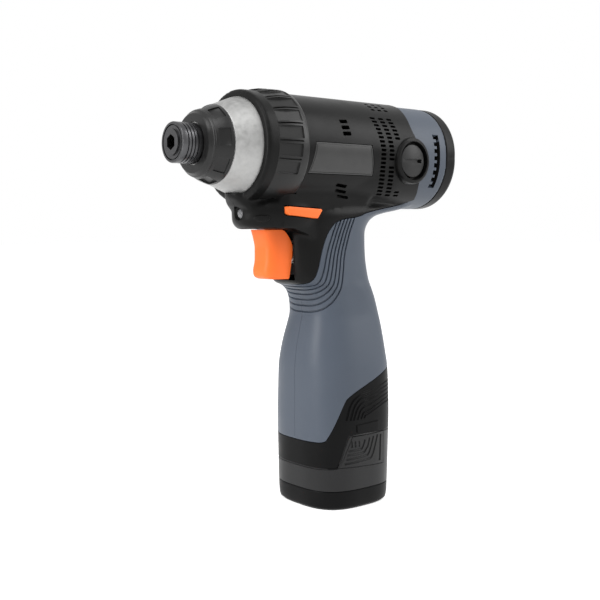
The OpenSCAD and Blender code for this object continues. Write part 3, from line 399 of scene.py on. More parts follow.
def mould_grain_group():
    """Fine spark-eroded grain of moulded plastic, with slow patches of finer and coarser polish."""
    group, given, out = new_group("mould_grain", {"Grain": 1500.0, "Patch": 45.0},
                                  ["Height", "Patches"])
    place = group.nodes.new("ShaderNodeTexCoord")
    fine = noise_node(group, 2.0)
    cells = group.nodes.new("ShaderNodeTexVoronoi")
    slow = noise_node(group, 4.0)
    mix = group.nodes.new("ShaderNodeMath")
    mix.operation = "MULTIPLY_ADD"
    mix.inputs[1].default_value = 0.5
    link = group.links.new
    for texture, size in ((fine, "Grain"), (cells, "Grain"), (slow, "Patch")):
        link(place.outputs["Object"], texture.inputs["Vector"])
        link(given.outputs[size], texture.inputs["Scale"])
    link(cells.outputs["Distance"], mix.inputs[0])
    link(fine.outputs["Fac"], mix.inputs[2])
    link(mix.outputs["Value"], out.inputs["Height"])
    link(slow.outputs["Fac"], out.inputs["Patches"])
    return group


def rubbed_edge_group():
    """Mask of corners that hands and pockets have rubbed, broken up by noise."""
    group, given, out = new_group("rubbed_edge", {"Break": 160.0}, ["Mask"])
    shape = group.nodes.new("ShaderNodeNewGeometry")
    ramp = group.nodes.new("ShaderNodeMapRange")
    ramp.inputs["From Min"].default_value = 0.53
    ramp.inputs["From Max"].default_value = 0.62
    place = group.nodes.new("ShaderNodeTexCoord")
    noise = noise_node(group, 5.0)
    product = group.nodes.new("ShaderNodeMath")
    product.operation = "MULTIPLY"
    link = group.links.new
    link(shape.outputs["Pointiness"], ramp.inputs["Value"])
    link(place.outputs["Object"], noise.inputs["Vector"])
    link(given.outputs["Break"], noise.inputs["Scale"])
    link(ramp.outputs["Result"], product.inputs[0])
    link(noise.outputs["Fac"], product.inputs[1])
    link(product.outputs["Value"], out.inputs["Mask"])
    return group


def lathe_lines_group():
    """Fine rings left by a lathe, round the barrel's axis."""
    group, given, out = new_group("lathe_lines", {"Pitch": 2600.0}, ["Height", "Streaks"])
    place = group.nodes.new("ShaderNodeTexCoord")
    squeeze = group.nodes.new("ShaderNodeMapping")
    squeeze.inputs["Scale"].default_value = (1.0, 0.02, 0.02)
    lines = noise_node(group, 3.0)
    streaks = noise_node(group, 6.0)
    streaks.inputs["Scale"].default_value = 120.0
    link = group.links.new
    link(place.outputs["Object"], squeeze.inputs["Vector"])
    link(squeeze.outputs["Vector"], lines.inputs["Vector"])
    link(given.outputs["Pitch"], lines.inputs["Scale"])
    link(place.outputs["Object"], streaks.inputs["Vector"])
    link(lines.outputs["Fac"], out.inputs["Height"])
    link(streaks.outputs["Fac"], out.inputs["Streaks"])
    return group


MOULD_GRAIN = mould_grain_group()
RUBBED_EDGE = rubbed_edge_group()
LATHE_LINES = lathe_lines_group()


def start_material(name, metallic=0.0):
    material = bpy.data.materials.new(name)
    material.use_nodes = True
    nodes, links = material.node_tree.nodes, material.node_tree.links
    shader = nodes["Principled BSDF"]
    shader.inputs["Metallic"].default_value = metallic
    return material, nodes, links, shader


def placed(nodes, group, **values):
    """A group's node with the named inputs set."""
    node = nodes.new("ShaderNodeGroup")
    node.node_tree = group
    for label, value in values.items():
        node.inputs[label].default_value = value
    return node


def blend_colours(nodes, links, mask, dark, pale, target):
    mix = nodes.new("ShaderNodeMix")
    mix.data_type = "RGBA"
    mix.inputs["A"].default_value = (*dark, 1.0)
    mix.inputs["B"].default_value = (*pale, 1.0)
    links.new(mask, mix.inputs["Factor"])
    links.new(mix.outputs["Result"], target)
    return mix


def spread(nodes, links, value, low, high, target):
    """Sends the middle of a noise's range on as low to high."""
    ramp = nodes.new("ShaderNodeMapRange")
    ramp.inputs["From Min"].default_value = 0.3
    ramp.inputs["From Max"].default_value = 0.7
    ramp.inputs["To Min"].default_value = low
    ramp.inputs["To Max"].default_value = high
    links.new(value, ramp.inputs["Value"])
    links.new(ramp.outputs["Result"], target)


def add_bump(nodes, links, height, depth, strength, shader):
    bump = nodes.new("ShaderNodeBump")
    bump.inputs["Distance"].default_value = depth
    bump.inputs["Strength"].default_value = strength
    links.new(height, bump.inputs["Height"])
    links.new(bump.outputs["Normal"], shader.inputs["Normal"])


def moulded(name, dark, pale, worn, rough, grain=1500.0, depth=0.00004, strength=0.35, gloss=0.5):
    """Moulded plastic or rubber: grain in the normal, patches in the roughness, rubbed corners."""
    material, nodes, links, shader = start_material(name)
    shader.inputs["Specular IOR Level"].default_value = gloss
    effect = placed(nodes, MOULD_GRAIN, Grain=grain, Patch=45.0)
    patches = effect.outputs["Patches"]
    edge = placed(nodes, RUBBED_EDGE)
    top = blend_colours(nodes, links, edge.outputs["Mask"], dark, worn,
                        shader.inputs["Base Color"])
    blend_colours(nodes, links, patches, dark, pale, top.inputs["A"])
    spread(nodes, links, patches, rough - 0.05, rough + 0.06, shader.inputs["Roughness"])
    add_bump(nodes, links, effect.outputs["Height"], depth, strength, shader)
    return material


def machined(name, dark, pale, rough):
    """Turned or ground metal with fine rings and slow streaks."""
    material, nodes, links, shader = start_material(name, metallic=1.0)
    effect = placed(nodes, LATHE_LINES, Pitch=2600.0)
    rings = effect.outputs["Height"]
    blend_colours(nodes, links, effect.outputs["Streaks"], dark, pale,
                  shader.inputs["Base Color"])
    spread(nodes, links, rings, rough - 0.06, rough + 0.08, shader.inputs["Roughness"])
    add_bump(nodes, links, rings, 0.00002, 0.5, shader)
    return material


def cast_metal(name, dark, pale, rough):
    """Blasted aluminium casting: bright and dark specks over a satin metal."""
    material, nodes, links, shader = start_material(name, metallic=1.0)
    effect = placed(nodes, MOULD_GRAIN, Grain=900.0, Patch=420.0)
    patches = effect.outputs["Patches"]
    blend_colours(nodes, links, patches, dark, pale, shader.inputs["Base Color"])
    spread(nodes, links, patches, rough - 0.05, rough + 0.1, shader.inputs["Roughness"])
    add_bump(nodes, links, effect.outputs["Height"], 0.00006, 0.5, shader)
    return material


def clear_lens(name):
    material, nodes, links, shader = start_material(name)
    shader.inputs["Base Color"].default_value = (0.95, 0.96, 1.0, 1.0)
    shader.inputs["Transmission Weight"].default_value = 0.85
    shader.inputs["IOR"].default_value = 1.49
    effect = placed(nodes, MOULD_GRAIN, Grain=700.0)
    spread(nodes, links, effect.outputs["Patches"], 0.06, 0.14, shader.inputs["Roughness"])
    return material


def grey(value):
    return value, value, value


FINISH = {
    "slate_shell": moulded("slate_moulding", (0.056, 0.069, 0.091), (0.069, 0.083, 0.107),
                           (0.13, 0.15, 0.19), 0.42, strength=0.3, gloss=0.25),
    "black_shell": moulded("black_moulding", grey(0.0030), (0.0052, 0.0052, 0.0050),
                           grey(0.02), 0.36, gloss=0.10),
    "black_collar": moulded("collar_moulding", grey(0.0060), (0.0095, 0.0095, 0.0092),
                            grey(0.03), 0.34, gloss=0.24),
    "battery_shell": moulded("battery_moulding", (0.0026, 0.0027, 0.0028),
                             (0.0045, 0.0045, 0.0047), grey(0.02), 0.38, gloss=0.07),
    "battery_band": moulded("battery_band_moulding", (0.0085, 0.0085, 0.0090),
                            (0.0125, 0.0125, 0.0130), grey(0.03), 0.36, gloss=0.2),
    "black_rubber": moulded("nose_rubber", grey(0.0050), grey(0.0085), grey(0.02), 0.34,
                            grain=900.0, gloss=0.28),
    "bare_plate": moulded("bare_plate_satin", grey(0.022), (0.027, 0.027, 0.026), grey(0.05),
                          0.34, grain=2200.0, depth=0.00002, gloss=0.3),
    "silver_casting": cast_metal("silver_casting", (0.23, 0.23, 0.226), (0.42, 0.42, 0.415), 0.50),
    "steel": machined("ground_steel", (0.42, 0.41, 0.40), (0.62, 0.61, 0.60), 0.30),
    "dark_steel": machined("blackened_steel", (0.055, 0.055, 0.058), (0.095, 0.095, 0.098), 0.32),
    "copper": machined("copper_bars", (0.50, 0.22, 0.10), (0.72, 0.36, 0.18), 0.32),
    "brass": machined("brass", (0.55, 0.38, 0.14), (0.75, 0.56, 0.24), 0.30),
    "orange": moulded("orange_moulding", (0.90, 0.150, 0.024), (0.95, 0.172, 0.030),
                      (1.0, 0.30, 0.10), 0.42, strength=0.2, gloss=0.25),
    "lens": clear_lens("clear_lens"),
    "board": moulded("green_board", (0.012, 0.10, 0.04), (0.02, 0.15, 0.06), (0.3, 0.25, 0.1),
                     0.35),
    "cell_wrap": moulded("cell_wrap_film", (0.05, 0.16, 0.12), (0.07, 0.21, 0.16),
                         (0.2, 0.3, 0.28), 0.30),
    "magnet": moulded("sintered_magnet", (0.03, 0.03, 0.033), (0.06, 0.06, 0.065), grey(0.1),
                      0.55),
    "black_plastic": moulded("plain_black_plastic", grey(0.014), grey(0.020), grey(0.05), 0.40,
                             gloss=0.2),
}

# Solids that are shown as packed wear their slot's finish; the anvil's steel is blackened
finish_of_node = {part["node"]: part["material_slot"] for part in frame["record"]["subparts"]}
finish_of_node["anvil"] = "dark_steel"
for node_name, node_object in frame["nodes"].items():
    node_object.data.materials.clear()
    node_object.data.materials.append(FINISH[finish_of_node[node_name]])


# Outlines in the side view, in x and z
BLACK_EDGE = eased([
    (-36.0, 205.0), (-34.7, 202.0), (-33.4, 193.0), (-36.0, 187.5), (-40.1, 165.0),
    (-43.5, 158.6), (-44.9, 155.5), (-8.4, 150.2), (-3.0, 147.6), (11.8, 146.2), (17.8, 140.2),
    (21.3, 131.3), (23.4, 121.5), (25.5, 116.2), (30.0, 113.3), (45.0, 112.6), (82.0, 112.2)])
BATTERY_EDGE = eased([
    (-40.0, 72.3), (-20.0, 70.3), (-6.8, 65.2), (10.6, 58.2), (13.8, 53.4), (19.9, 38.0),
    (21.0, 35.2), (24.0, 34.6), (40.0, 34.6)])
PLATE = [(33.4, 183.2), (-3.2, 183.2), (-6.6, 167.9), (36.0, 167.9)]
CHIN_SCREW = (0.715 * HEAD_X, 0.815 * AXIS_Z)
BODY_SCREWS = [(share_x * HEAD_X, share_z * AXIS_Z) for share_x, share_z in
               ((-0.68, 1.10), (-0.68, 0.90), (-0.09, 0.785), (0.20, 0.575), (-0.13, 0.62))]


def moved_aside(line, start, end=None):
    """An open line of (x, z) points moved to its left, by a gap that may change along its way."""
    end = start if end is None else end
    moved = []
    for i, (x, z) in enumerate(line):
        before, after = line[max(i - 1, 0)], line[min(i + 1, len(line) - 1)]
        run = Vector((after[0] - before[0], after[1] - before[1])).normalized()
        share = i / (len(line) - 1)
        gap = start + (end - start) * (3 * share ** 2 - 2 * share ** 3)
        moved.append((x - run.y * gap, z + run.x * gap))
    return moved


def black_region(gap):
    """What lies in front of and above the edge between the grey body and the black barrel."""
    outline = moved_aside(BLACK_EDGE, gap) + [(82.0, 225.0), (-36.0, 225.0)]
    return prism("black_room", outline, -60.0, 60.0)


def battery_region(drop):
    """What lies below the battery's upper edge."""
    outline = [(x, z - drop) for x, z in BATTERY_EDGE] + [(40.0, -5.0), (-40.0, -5.0)]
    return prism("battery_room", outline, -60.0, 60.0)


def spoke(name, x, turn, radius, size, slant=0.0, tilt=0.0):
    """A block that points out from the barrel's axis; its size is along, outwards and around."""
    lean = Matrix.Rotation(math.radians(turn), 3, "X")
    lean = lean @ Matrix.Rotation(math.radians(slant), 3, "Y")
    lean = lean @ Matrix.Rotation(math.radians(tilt), 3, "Z")
    centre = (x, radius * math.cos(math.radians(turn)),
              AXIS_Z + radius * math.sin(math.radians(turn)))
    return block(name, centre, size, lean.to_euler())


def boss_place(side):
    return dict(centre=(BOSS_X, 0.0, BOSS_Z), axis=(0, side, 0), up=(1, 0, 0))


def screw_well(spot):
    """The hole over a screw's head, from the right side."""
    x, z = spot
    return plain_cylinder("well", 10.05, 40.0, 2.9, SMALL, centre=(x, 0.0, z), axis=(0, -1, 0),
                          up=(1, 0, 0))


def hollow_tool():
    """The room inside the shells: the grip, the chin and the bore of the barrel."""
    room = skin_solid("hollow", grip_ring, 20.0, GRIP_TOP, inset=WALL, cuts=70, points=64)
    carve(room, skin_solid("chin_room", chin_ring, CHIN_Z + WALL, 159.4, inset=WALL, cuts=16,
                           points=48), "UNION")
    return carve(room, plain_cylinder("bore", -80.0, 80.0, BORE_R), "UNION")


def shells(form, name):
    """The left and the right half of a form, which is used up."""
    halves = []
    for side, word in ((1, "left"), (-1, "right")):
        room = block("half_room", (0.0, side * (50.0 + SPLIT_GAP), 120.0), (260.0, 100.0, 300.0))
        halves.append(carve(copied(form, name + word), room, "INTERSECT"))
    bpy.data.objects.remove(form, do_unlink=True)
    return halves


hollow = hollow_tool()


# Black barrel shells
def case_lip():
    """The lip that hugs the underside of the hammer case and runs down into the chin."""
    lip = turned("case_lip", [
        (54.0, 20.0), (54.0, 32.0), (59.2, 31.0), (62.0, 28.4), (63.0, 26.9), (64.4, 25.4),
        (65.8, 24.0), (66.2, 23.2), (66.2, 20.0)])
    room = plain_cylinder("lip_room", 137.0, 163.0, 8.6, centre=(57.2, 0.0, 0.0), **UPRIGHT)
    return carve(lip, room, "INTERSECT")


def barrel_form():
    cheeks = [(46.0, 147.0), (46.0, 141.6), (38.0, 141.4), (30.0, 139.0), (19.0, 135.0),
              (12.0, 133.4), (10.0, 147.0)]
    saddle = [(-14.0, 156.0), (-8.0, 149.6), (40.0, 148.6), (46.0, 150.0), (46.0, 164.0),
              (-20.0, 164.0)]
    rear = [(-52.0, 0.0), (-52.0, BARREL_R), (-24.0, BARREL_R), (14.0, 24.0), (14.0, 0.0)]
    parts = [skin_solid("neck_form", grip_ring, 104.0, GRIP_TOP, cuts=60),
             skin_solid("chin_form", chin_ring, CHIN_Z, 159.6, cuts=26),
             prism("cheeks", cheeks, -16.3, 16.3),
             soften(prism("saddle", saddle, -17.2, 17.2), 4.0, 4),
             case_lip(),
             turned("rear_form", rear, centre=(0.0, 0.0, REAR_Z)),
             plain_cylinder("barrel_form", -52.0, 62.0, BARREL_R, FINE)]
    form = remeshed(joined("black_form", parts), 10)
    carve(form, black_region(EDGE_GAP), "INTERSECT")
    ring = [(10.0, 0.0), (10.0, 12.0), (26.6, 12.0), (27.6, 11.6), (28.1, 10.8), (28.1, 0.0)]
    for side in (1, -1):
        carve(form, turned("boss_ring", ring, ROUND, **boss_place(side)), "UNION")
    carve(form, turned("collar_room", [
        (COLLAR_X, 0.0), (COLLAR_X, 28.5), (44.2, 28.5), (48.7, 28.3), (52.7, 27.6), (56.2, 26.6),
        (58.4, 25.4), (59.15, 24.6), (59.15, 23.8), (61.6, 23.7), (74.7, 19.1), (90.0, 19.1),
        (90.0, 0.0)]))
    return carve(form, hollow, keep=True)


def vent(x, turn, length, width, slant=0.0):
    return spoke("vent", x, turn, BARREL_R - 0.6, (length, 7.6, width), slant=slant)


def vent_tools():
    """Three bending columns of slots, a group over the top, and two small groups by the plate."""
    tools = []
    boss_clear = 14.6
    for start in (-11.2, -17.0, -22.8):
        for row in range(20):
            turn = 37.0 - 4.6 * row
            x = start + (3.1 * turn / 36.0 if turn > 0 else -5.0 * (turn / 50.0) ** 2)
            z = AXIS_Z + BARREL_R * math.sin(math.radians(turn))
            if math.hypot(x - BOSS_X, z - BOSS_Z) > boss_clear:
                tools.append(vent(x, turn, 3.6, 1.35))
    for row in range(3):
        for column in range(3):
            tools.append(vent(-13.0 - 4.6 * column, 52.0 + 6.4 * row, 2.6, 1.6))
    for x, turn, length in ((13.4, 28.9, 5.2), (13.2, 21.8, 5.2), (13.0, 15.0, 5.4)):
        tools.append(vent(x, turn, length, 2.1, slant=4.0))
    droop = (0.0, math.radians(-6.0), 0.0)
    for x, z in ((11.2, 162.9), (9.8, 160.2), (8.2, 157.5)):
        tools.append(block("vent", (x, 22.0, z), (7.4, 15.0, 1.5), droop))
    return [soften(tool, 0.35, 1) for tool in tools]


def chin_mark():
    """The plain raised oval on the chin's left side."""
    mark = turned("chin_mark", [(-5.0, 0.0), (-5.0, 1.7), (0.1, 1.7), (0.5, 1.3), (0.6, 0.0)],
                  SMALL, centre=(0.0, 0.0, 0.0))
    mark.data.transform(Matrix.Translation((55.2 * MM, 12.4 * MM, 146.6 * MM))
                        @ Matrix.Rotation(math.radians(50.0), 4, "Z")
                        @ Matrix.Diagonal((1.0, 2.3, 0.95, 1.0)))
    return mark


def plate_ring(name, low, high, outline):
    """Part of a ring round the barrel, inside an outline on the left side."""
    ring = turned(name, [(-40.0, low), (-40.0, high), (60.0, high), (60.0, low)], 200)
    return carve(ring, prism("plate_side", outline, 0.0, 40.0), "INTERSECT")


black_form = barrel_form()
carve(black_form, chin_mark(), "UNION")
carve(black_form, joined("vents", both_sides(vent_tools())))
boss_groove = [(5.0, 0.0), (5.0, 5.6), (22.0, 5.6), (22.0, 8.62), (25.0, 8.62), (25.0, 9.9),
               (40.0, 9.9), (40.0, 0.0)]
for side in (1, -1):
    carve(black_form, turned("boss_groove", boss_groove, ROUND, **boss_place(side)))
selector_line = [(45.0, 148.0), (45.0, 153.0), (22.6, 151.9), (25.4, 146.2)]
for mouth in (prism("selector_mouth", selector_line, -30.0, 30.0),
              block("trigger_mouth", (48.6, 0.0, 129.1), (52.8, 16.7, 26.0))):
    carve(black_form, soften(mouth, 0.8, 3))
lens_mouth = [(53.0, 0.0), (53.0, 2.65), (58.6, 2.65), (59.4, 3.4), (80.0, 3.4), (80.0, 0.0)]
carve(black_form, turned("lens_mouth", lens_mouth, SMALL, centre=(0.0, 0.0, LENS_Z)))
barrel_left, barrel_right = shells(black_form, "barrel_shell_")
carve(barrel_left, plate_ring("plate_recess", BARREL_R - 0.85, BARREL_R + 3.0, PLATE))
carve(barrel_right, screw_well(CHIN_SCREW))
dress(barrel_left, "housing", "black_shell", "left_barrel")
dress(barrel_right, "housing", "black_shell", "right_barrel")


# Grey body shells
def finely(line, steps):
    points = []
    for a, b in zip(line, line[1:]):
        points += [tuple(p + (q - p) * i / steps for p, q in zip(a, b)) for i in range(steps)]
    return points + [line[-1]]


def skin_path(line, past=()):
    """Points on the grip's left skin through (x, z) spots.

    With past they go on through its (turn, z) spots and back along the right side.
    """
    spots = [(turn_of(x, z), z) for x, z in line]
    spots += [(math.radians(turn), z) for turn, z in past]
    left = [skin_point(grip_ring, z, turn) for turn, z in finely(eased(spots), 4)]
    if past:
        return left + [(x, -y, z) for x, y, z in reversed(left[:-1])]
    return left


def rib_tools():
    """Six grooves that keep beside the black edge, spread towards the front and cut the skin."""
    edge = eased([(11.4, 156.0), (17.8, 140.2), (21.3, 131.3), (23.4, 121.5), (25.5, 116.2),
                  (30.0, 113.3), (36.0, 112.8), (45.0, 112.6)])
    half = 0.5
    slabs = []
    for i in range(6):
        start, end = -3.2 - 2.0 * i, -2.9 - 3.1 * i
        line = moved_aside(edge, start + half, end + half)
        line += moved_aside(edge, start - half, end - half)[::-1]
        slabs.append(prism("rib", line, -40.0, 40.0))
    floor_of_ribs = skin_solid("rib_floor", grip_ring, 70.0, GRIP_TOP, inset=0.9, cuts=90)
    return carve(joined("ribs", slabs), floor_of_ribs)


def arc_block(name, low_x, high_x, low_r, high_r, start, end):
    """Part of a ring round the barrel between two turns in degrees up from the left side."""
    deselect()
    bpy.ops.mesh.primitive_circle_add(vertices=4, radius=1.0, fill_type="NGON")
    obj = named(name)
    out = Vector((0.0, math.cos(math.radians(start)), math.sin(math.radians(start))))
    corners = ((low_x, low_r), (high_x, low_r), (high_x, high_r), (low_x, high_r))
    for vertex, (x, r) in zip(obj.data.vertices, corners):
        vertex.co = Vector((x, out.y * r, AXIS_Z + out.z * r)) * MM
    edit(obj)
    bpy.ops.mesh.spin(steps=24, angle=math.radians(start - end), center=(0.0, 0.0, AXIS_Z * MM),
                      axis=(1, 0, 0))
    return face_outwards(done(obj))


def rear_slot_tool():
    """The crescent slot in the grey band, with seven teeth along its front edge."""
    slot = arc_block("rear_slot", -53.6, -49.2, 20.0, 34.0, -40.0, 23.0)
    teeth = [spoke("tooth", -49.4, 15.5 - 8.2 * i, 27.0, (3.4, 20.0, 1.5)) for i in range(7)]
    return carve(slot, joined("teeth", teeth))


def body_form():
    parts = [skin_solid("grip_form", grip_ring, 28.0, GRIP_TOP, cuts=130),
             plain_cylinder("band_form", CAP_X, -28.0, BAND_R, FINE),
             plain_cylinder("band_keel", CAP_X, -28.0, BAND_R, FINE, centre=(0.0, 0.0, REAR_Z))]
    form = remeshed(joined("grey_form", parts), 8)
    carve(form, black_region(-EDGE_GAP))
    for side in (1, -1):
        carve(form, plain_cylinder("boss_room", 5.0, 40.0, 12.25, **boss_place(side)))
    carve(form, battery_region(0.0))
    carve(form, plain_cylinder("cap_room", -80.0, -58.95, 40.0))
    carve(form, hollow)
    carve(form, rib_tools())
    return carve(form, joined("rear_slots", both_sides([rear_slot_tool()])))


body_left, body_right = shells(body_form(), "grip_shell_")
carve(body_right, joined("wells", [screw_well(spot) for spot in BODY_SCREWS]))
dress(body_left, "housing", "slate_shell", "left_body")
dress(body_right, "housing", "slate_shell", "right_body")
# Painted shade: the rear slots' walls and the shell's inner faces behind them take the black finish
# instead of slate, so the slots read dark
for shell in (body_left, body_right):
    shell.data.materials.append(FINISH["black_shell"])
    for face in shell.data.polygons:
        x, y, z = (value / MM for value in face.center)
        inside = math.hypot(y, z - (AXIS_Z + REAR_Z) / 2) < 25.2
        if -55.0 < x < -46.5 and z > 160.0 and inside:
            # Painted shade: this slate face of the slot is coloured black
            face.material_index = 1


# Bare name plate with a thin line round its border
def inset_outline(outline, gap):
    middle = Vector((sum(x for x, _z in outline) / 4, sum(z for _x, z in outline) / 4))
    return [(x + (gap if x < middle.x else -gap), z + (gap if z < middle.y else -gap))
            for x, z in outline]


plate = plate_ring("name_plate_bare", BARREL_R - 0.8, BARREL_R - 0.12, inset_outline(PLATE, 0.35))
border = plate_ring("border", BARREL_R - 0.28, BARREL_R + 1.0, inset_outline(PLATE, 0.9))
carve(border, plate_ring("field", BARREL_R - 0.6, BARREL_R + 2.0, inset_outline(PLATE, 1.25)))
carve(plate, border)
dress(plate, "housing", "bare_plate", "name_plate")


# Brush caps with their coin slots
def brush_cap(side):
    place = boss_place(side)
    cap = turned("brush_cap", [(22.0, 0.0), (22.0, 8.5), (26.4, 8.5), (26.9, 8.3), (27.15, 7.8),
                               (27.2, 0.0)], ROUND, **place)
    carve(cap, plain_cylinder("slot", 26.6, 26.85, 7.9, ROUND, **place))
    carve(cap, block("coin_slot", (BOSS_X, side * 27.4, BOSS_Z), (12.4, 1.7, 1.7)))
    return carve(cap, block("coin_hole", (BOSS_X - 5.0, side * 27.4, BOSS_Z), (2.6, 5.0, 1.9)))


caps = joined("brush_caps_pair", [brush_cap(1), brush_cap(-1)])
dress(caps, "housing", "black_plastic", "brush_caps")


# Rear cap, with a round corner of radius 3.7 at its end
def cap_corner(steps=10):
    turns = [math.radians(90.0 + 90.0 * i / steps) for i in range(steps + 1)]
    return [(-64.0 + 3.7 * math.cos(turn), 22.2 + 3.7 * math.sin(turn)) for turn in turns]


cap_profile = [(-58.95, 0.0), (-58.95, 25.4), (-59.4, 25.9)] + cap_corner() + [(-67.7, 0.0)]
cap_spigot = [(CAP_X, 20.4), (CAP_X, 22.9), (-56.5, 22.9), (-56.5, 20.4)]
rear = turned("rear_cap_moulding", cap_profile)
carve(rear, turned("cap_keel", cap_profile, centre=(0.0, 0.0, REAR_Z)), "UNION")
carve(rear, plain_cylinder("cap_room", -64.2, -50.0, 20.4))
carve(rear, turned("cap_spigot", cap_spigot), "UNION")
dress(rear, "housing", "black_shell", "rear_cap")


# Ribbed collar: wide pads and thin grooves by turns, over its upper part
collar = turned("ribbed_collar", [
    (38.05, 24.65), (38.05, 27.5), (38.5, 28.0), (39.4, 28.3), (44.0, 28.4), (48.5, 28.2),
    (52.5, 27.5), (55.6, 26.6), (55.8, 26.0), (56.2, 26.0), (56.5, 26.2), (58.2, 25.2),
    (58.9, 24.5), (59.0, 24.1), (59.0, 23.45), (57.05, 23.45), (57.05, 24.65)], 216)
PAD_FRONT = 55.2
pads = []
for i in range(14):
    for turn, width in ((-23.0 + 17.4 * i, 6.0), (-14.3 + 17.4 * i, 0.8)):
        rear_end = 39.8 + 2.6 * (1.0 - math.sin(math.radians(turn)))
        middle = (rear_end + PAD_FRONT) / 2
        pad = spoke("pad", middle, turn, 28.0 - 0.11 * (middle - 48.5),
                    (PAD_FRONT - rear_end, 2.0, width), tilt=-6.3)
        pads.append(soften(pad, 0.2, 1))
carve(collar, joined("pads", pads))
dress(collar, "housing", "black_shell", "front_collar", finish="black_collar")


# Hammer case and nose bumper
case = turned("hammer_case_casting", [
    (84.8, 8.8), (84.8, 12.2), (74.72, 16.6), (74.72, 18.4), (74.45, 18.85), (63.1, 23.0),
    (62.0, 23.3), (61.2, 23.4), (57.1, 23.4), (57.1, 22.6), (28.8, 22.6), (28.8, 19.4),
    (64.7, 19.4), (64.7, 8.8)])
dress(case, "housing", "silver_casting", "hammer_case", angle=28.0)


def pocket_tool(turn):
    """A block that lies along the bumper's cone."""
    pocket = soften(block("pocket", (0.0, 0.0, 0.0), (5.8, 2.8, 8.0)), 0.35)
    pocket.data.transform(Matrix.Translation((0.0, 0.0, AXIS_Z * MM))
                          @ Matrix.Rotation(math.radians(turn), 4, "X")
                          @ Matrix.Translation((79.2 * MM, 17.4 * MM, 0.0))
                          @ Matrix.Rotation(math.radians(-23.0), 4, "Z"))
    return pocket


bumper = turned("nose_bumper_rubber", [
    (74.75, 16.65), (74.75, 18.45), (75.0, 18.7), (75.4, 18.7), (79.0, 17.5), (82.9, 15.6),
    (83.3, 15.7), (83.9, 15.4), (84.2, 14.8), (85.3, 14.2), (85.8, 13.7), (85.9, 13.1),
    (85.9, 10.0), (84.85, 10.0), (84.85, 12.25)])
carve(bumper, joined("pockets", [pocket_tool(8.0 + 45.0 * i) for i in range(8)]))
dress(bumper, "housing", "black_rubber", "nose_bumper")


# Bit sleeve
SLEEVE_R, GROOVE_R = 9.4, 8.95
sleeve_profile = [(85.1, 7.9), (85.1, 9.1), (85.4, SLEEVE_R)]
for i in range(4):
    x = 88.0 + 1.75 * i
    sleeve_profile += [(x, SLEEVE_R), (x + 0.15, GROOVE_R), (x + 0.65, GROOVE_R),
                       (x + 0.8, SLEEVE_R)]
sleeve_profile += [(96.2, SLEEVE_R), (96.5, 9.25), (96.6, 8.95), (96.6, 8.2), (90.2, 8.2),
                   (90.2, 6.05), (88.0, 6.05), (88.0, 7.9)]
dress(turned("bit_sleeve_turned", sleeve_profile, 128), "bit_sleeve", "dark_steel", "bit_sleeve",
      angle=28.0)


# Trigger, selector and work light
# Height share and place of the trigger's front edge, then the outline of its back
TRIGGER_LOW, TRIGGER_HIGH = 117.0, 141.2
TRIGGER_RINGS = [(0.0, 44.9), (0.03, 46.6), (0.08, 47.5), (0.16, 47.8), (0.40, 46.8),
                 (0.62, 46.8), (0.82, 47.7), (0.94, 48.6), (1.0, 49.0)]
TRIGGER_BACK = eased([(40.0, 141.6), (36.6, 140.0), (33.0, 134.6), (32.6, 131.0), (33.4, 125.8),
                      (34.6, 117.9), (35.2, 117.0), (36.4, 116.6)])


def trigger_ring(z):
    share = (z - TRIGGER_LOW) / (TRIGGER_HIGH - TRIGGER_LOW)
    front = between_rings(TRIGGER_RINGS, share)[0]
    return front - 30.0, front, 7.9, 4.5


trigger = skin_solid("trigger_moulding", trigger_ring, TRIGGER_LOW, TRIGGER_HIGH, cuts=60,
                     points=120)
trigger_side = TRIGGER_BACK + [(60.0, 116.6), (60.0, 141.6)]
carve(trigger, prism("trigger_side", trigger_side, -20.0, 20.0), "INTERSECT")
soften(trigger, 0.5, 2, 50.0)
spring_seat = [(20.0, 4.5), (20.0, 6.3), (36.0, 6.3), (36.0, 4.5)]
carve(trigger, turned("spring_seat", spring_seat, 64, centre=(0.0, 0.0, PLUNGER_Z)))
carve(trigger, block("plunger", (25.5, 0.0, PLUNGER_Z), (23.0, 6.0, 6.0)), "UNION")
dress(trigger, "trigger", "orange", "trigger")

selector = prism("direction_selector_bar", [
    (43.6, 148.4), (44.7, 149.6), (44.6, 152.0), (44.0, 152.4), (23.7, 151.3), (23.1, 150.6),
    (26.0, 146.7)], -19.4, 19.4)
soften(selector, 0.7, 3)
for x in (25.5, 42.0):
    carve(selector, block("waist", (x, 0.0, 150.0), (7.0, 22.9, 20.0)))
dress(selector, "direction_selector", "orange", "direction_selector")

lens_profile = [(54.0, 0.0), (54.0, 2.55), (58.0, 2.55), (58.7, 2.3), (59.3, 1.5), (59.5, 0.0)]
lens = turned("work_light_lens", lens_profile, 64, centre=(0.0, 0.0, LENS_Z))
dress(lens, "housing", "lens", "led_lens")


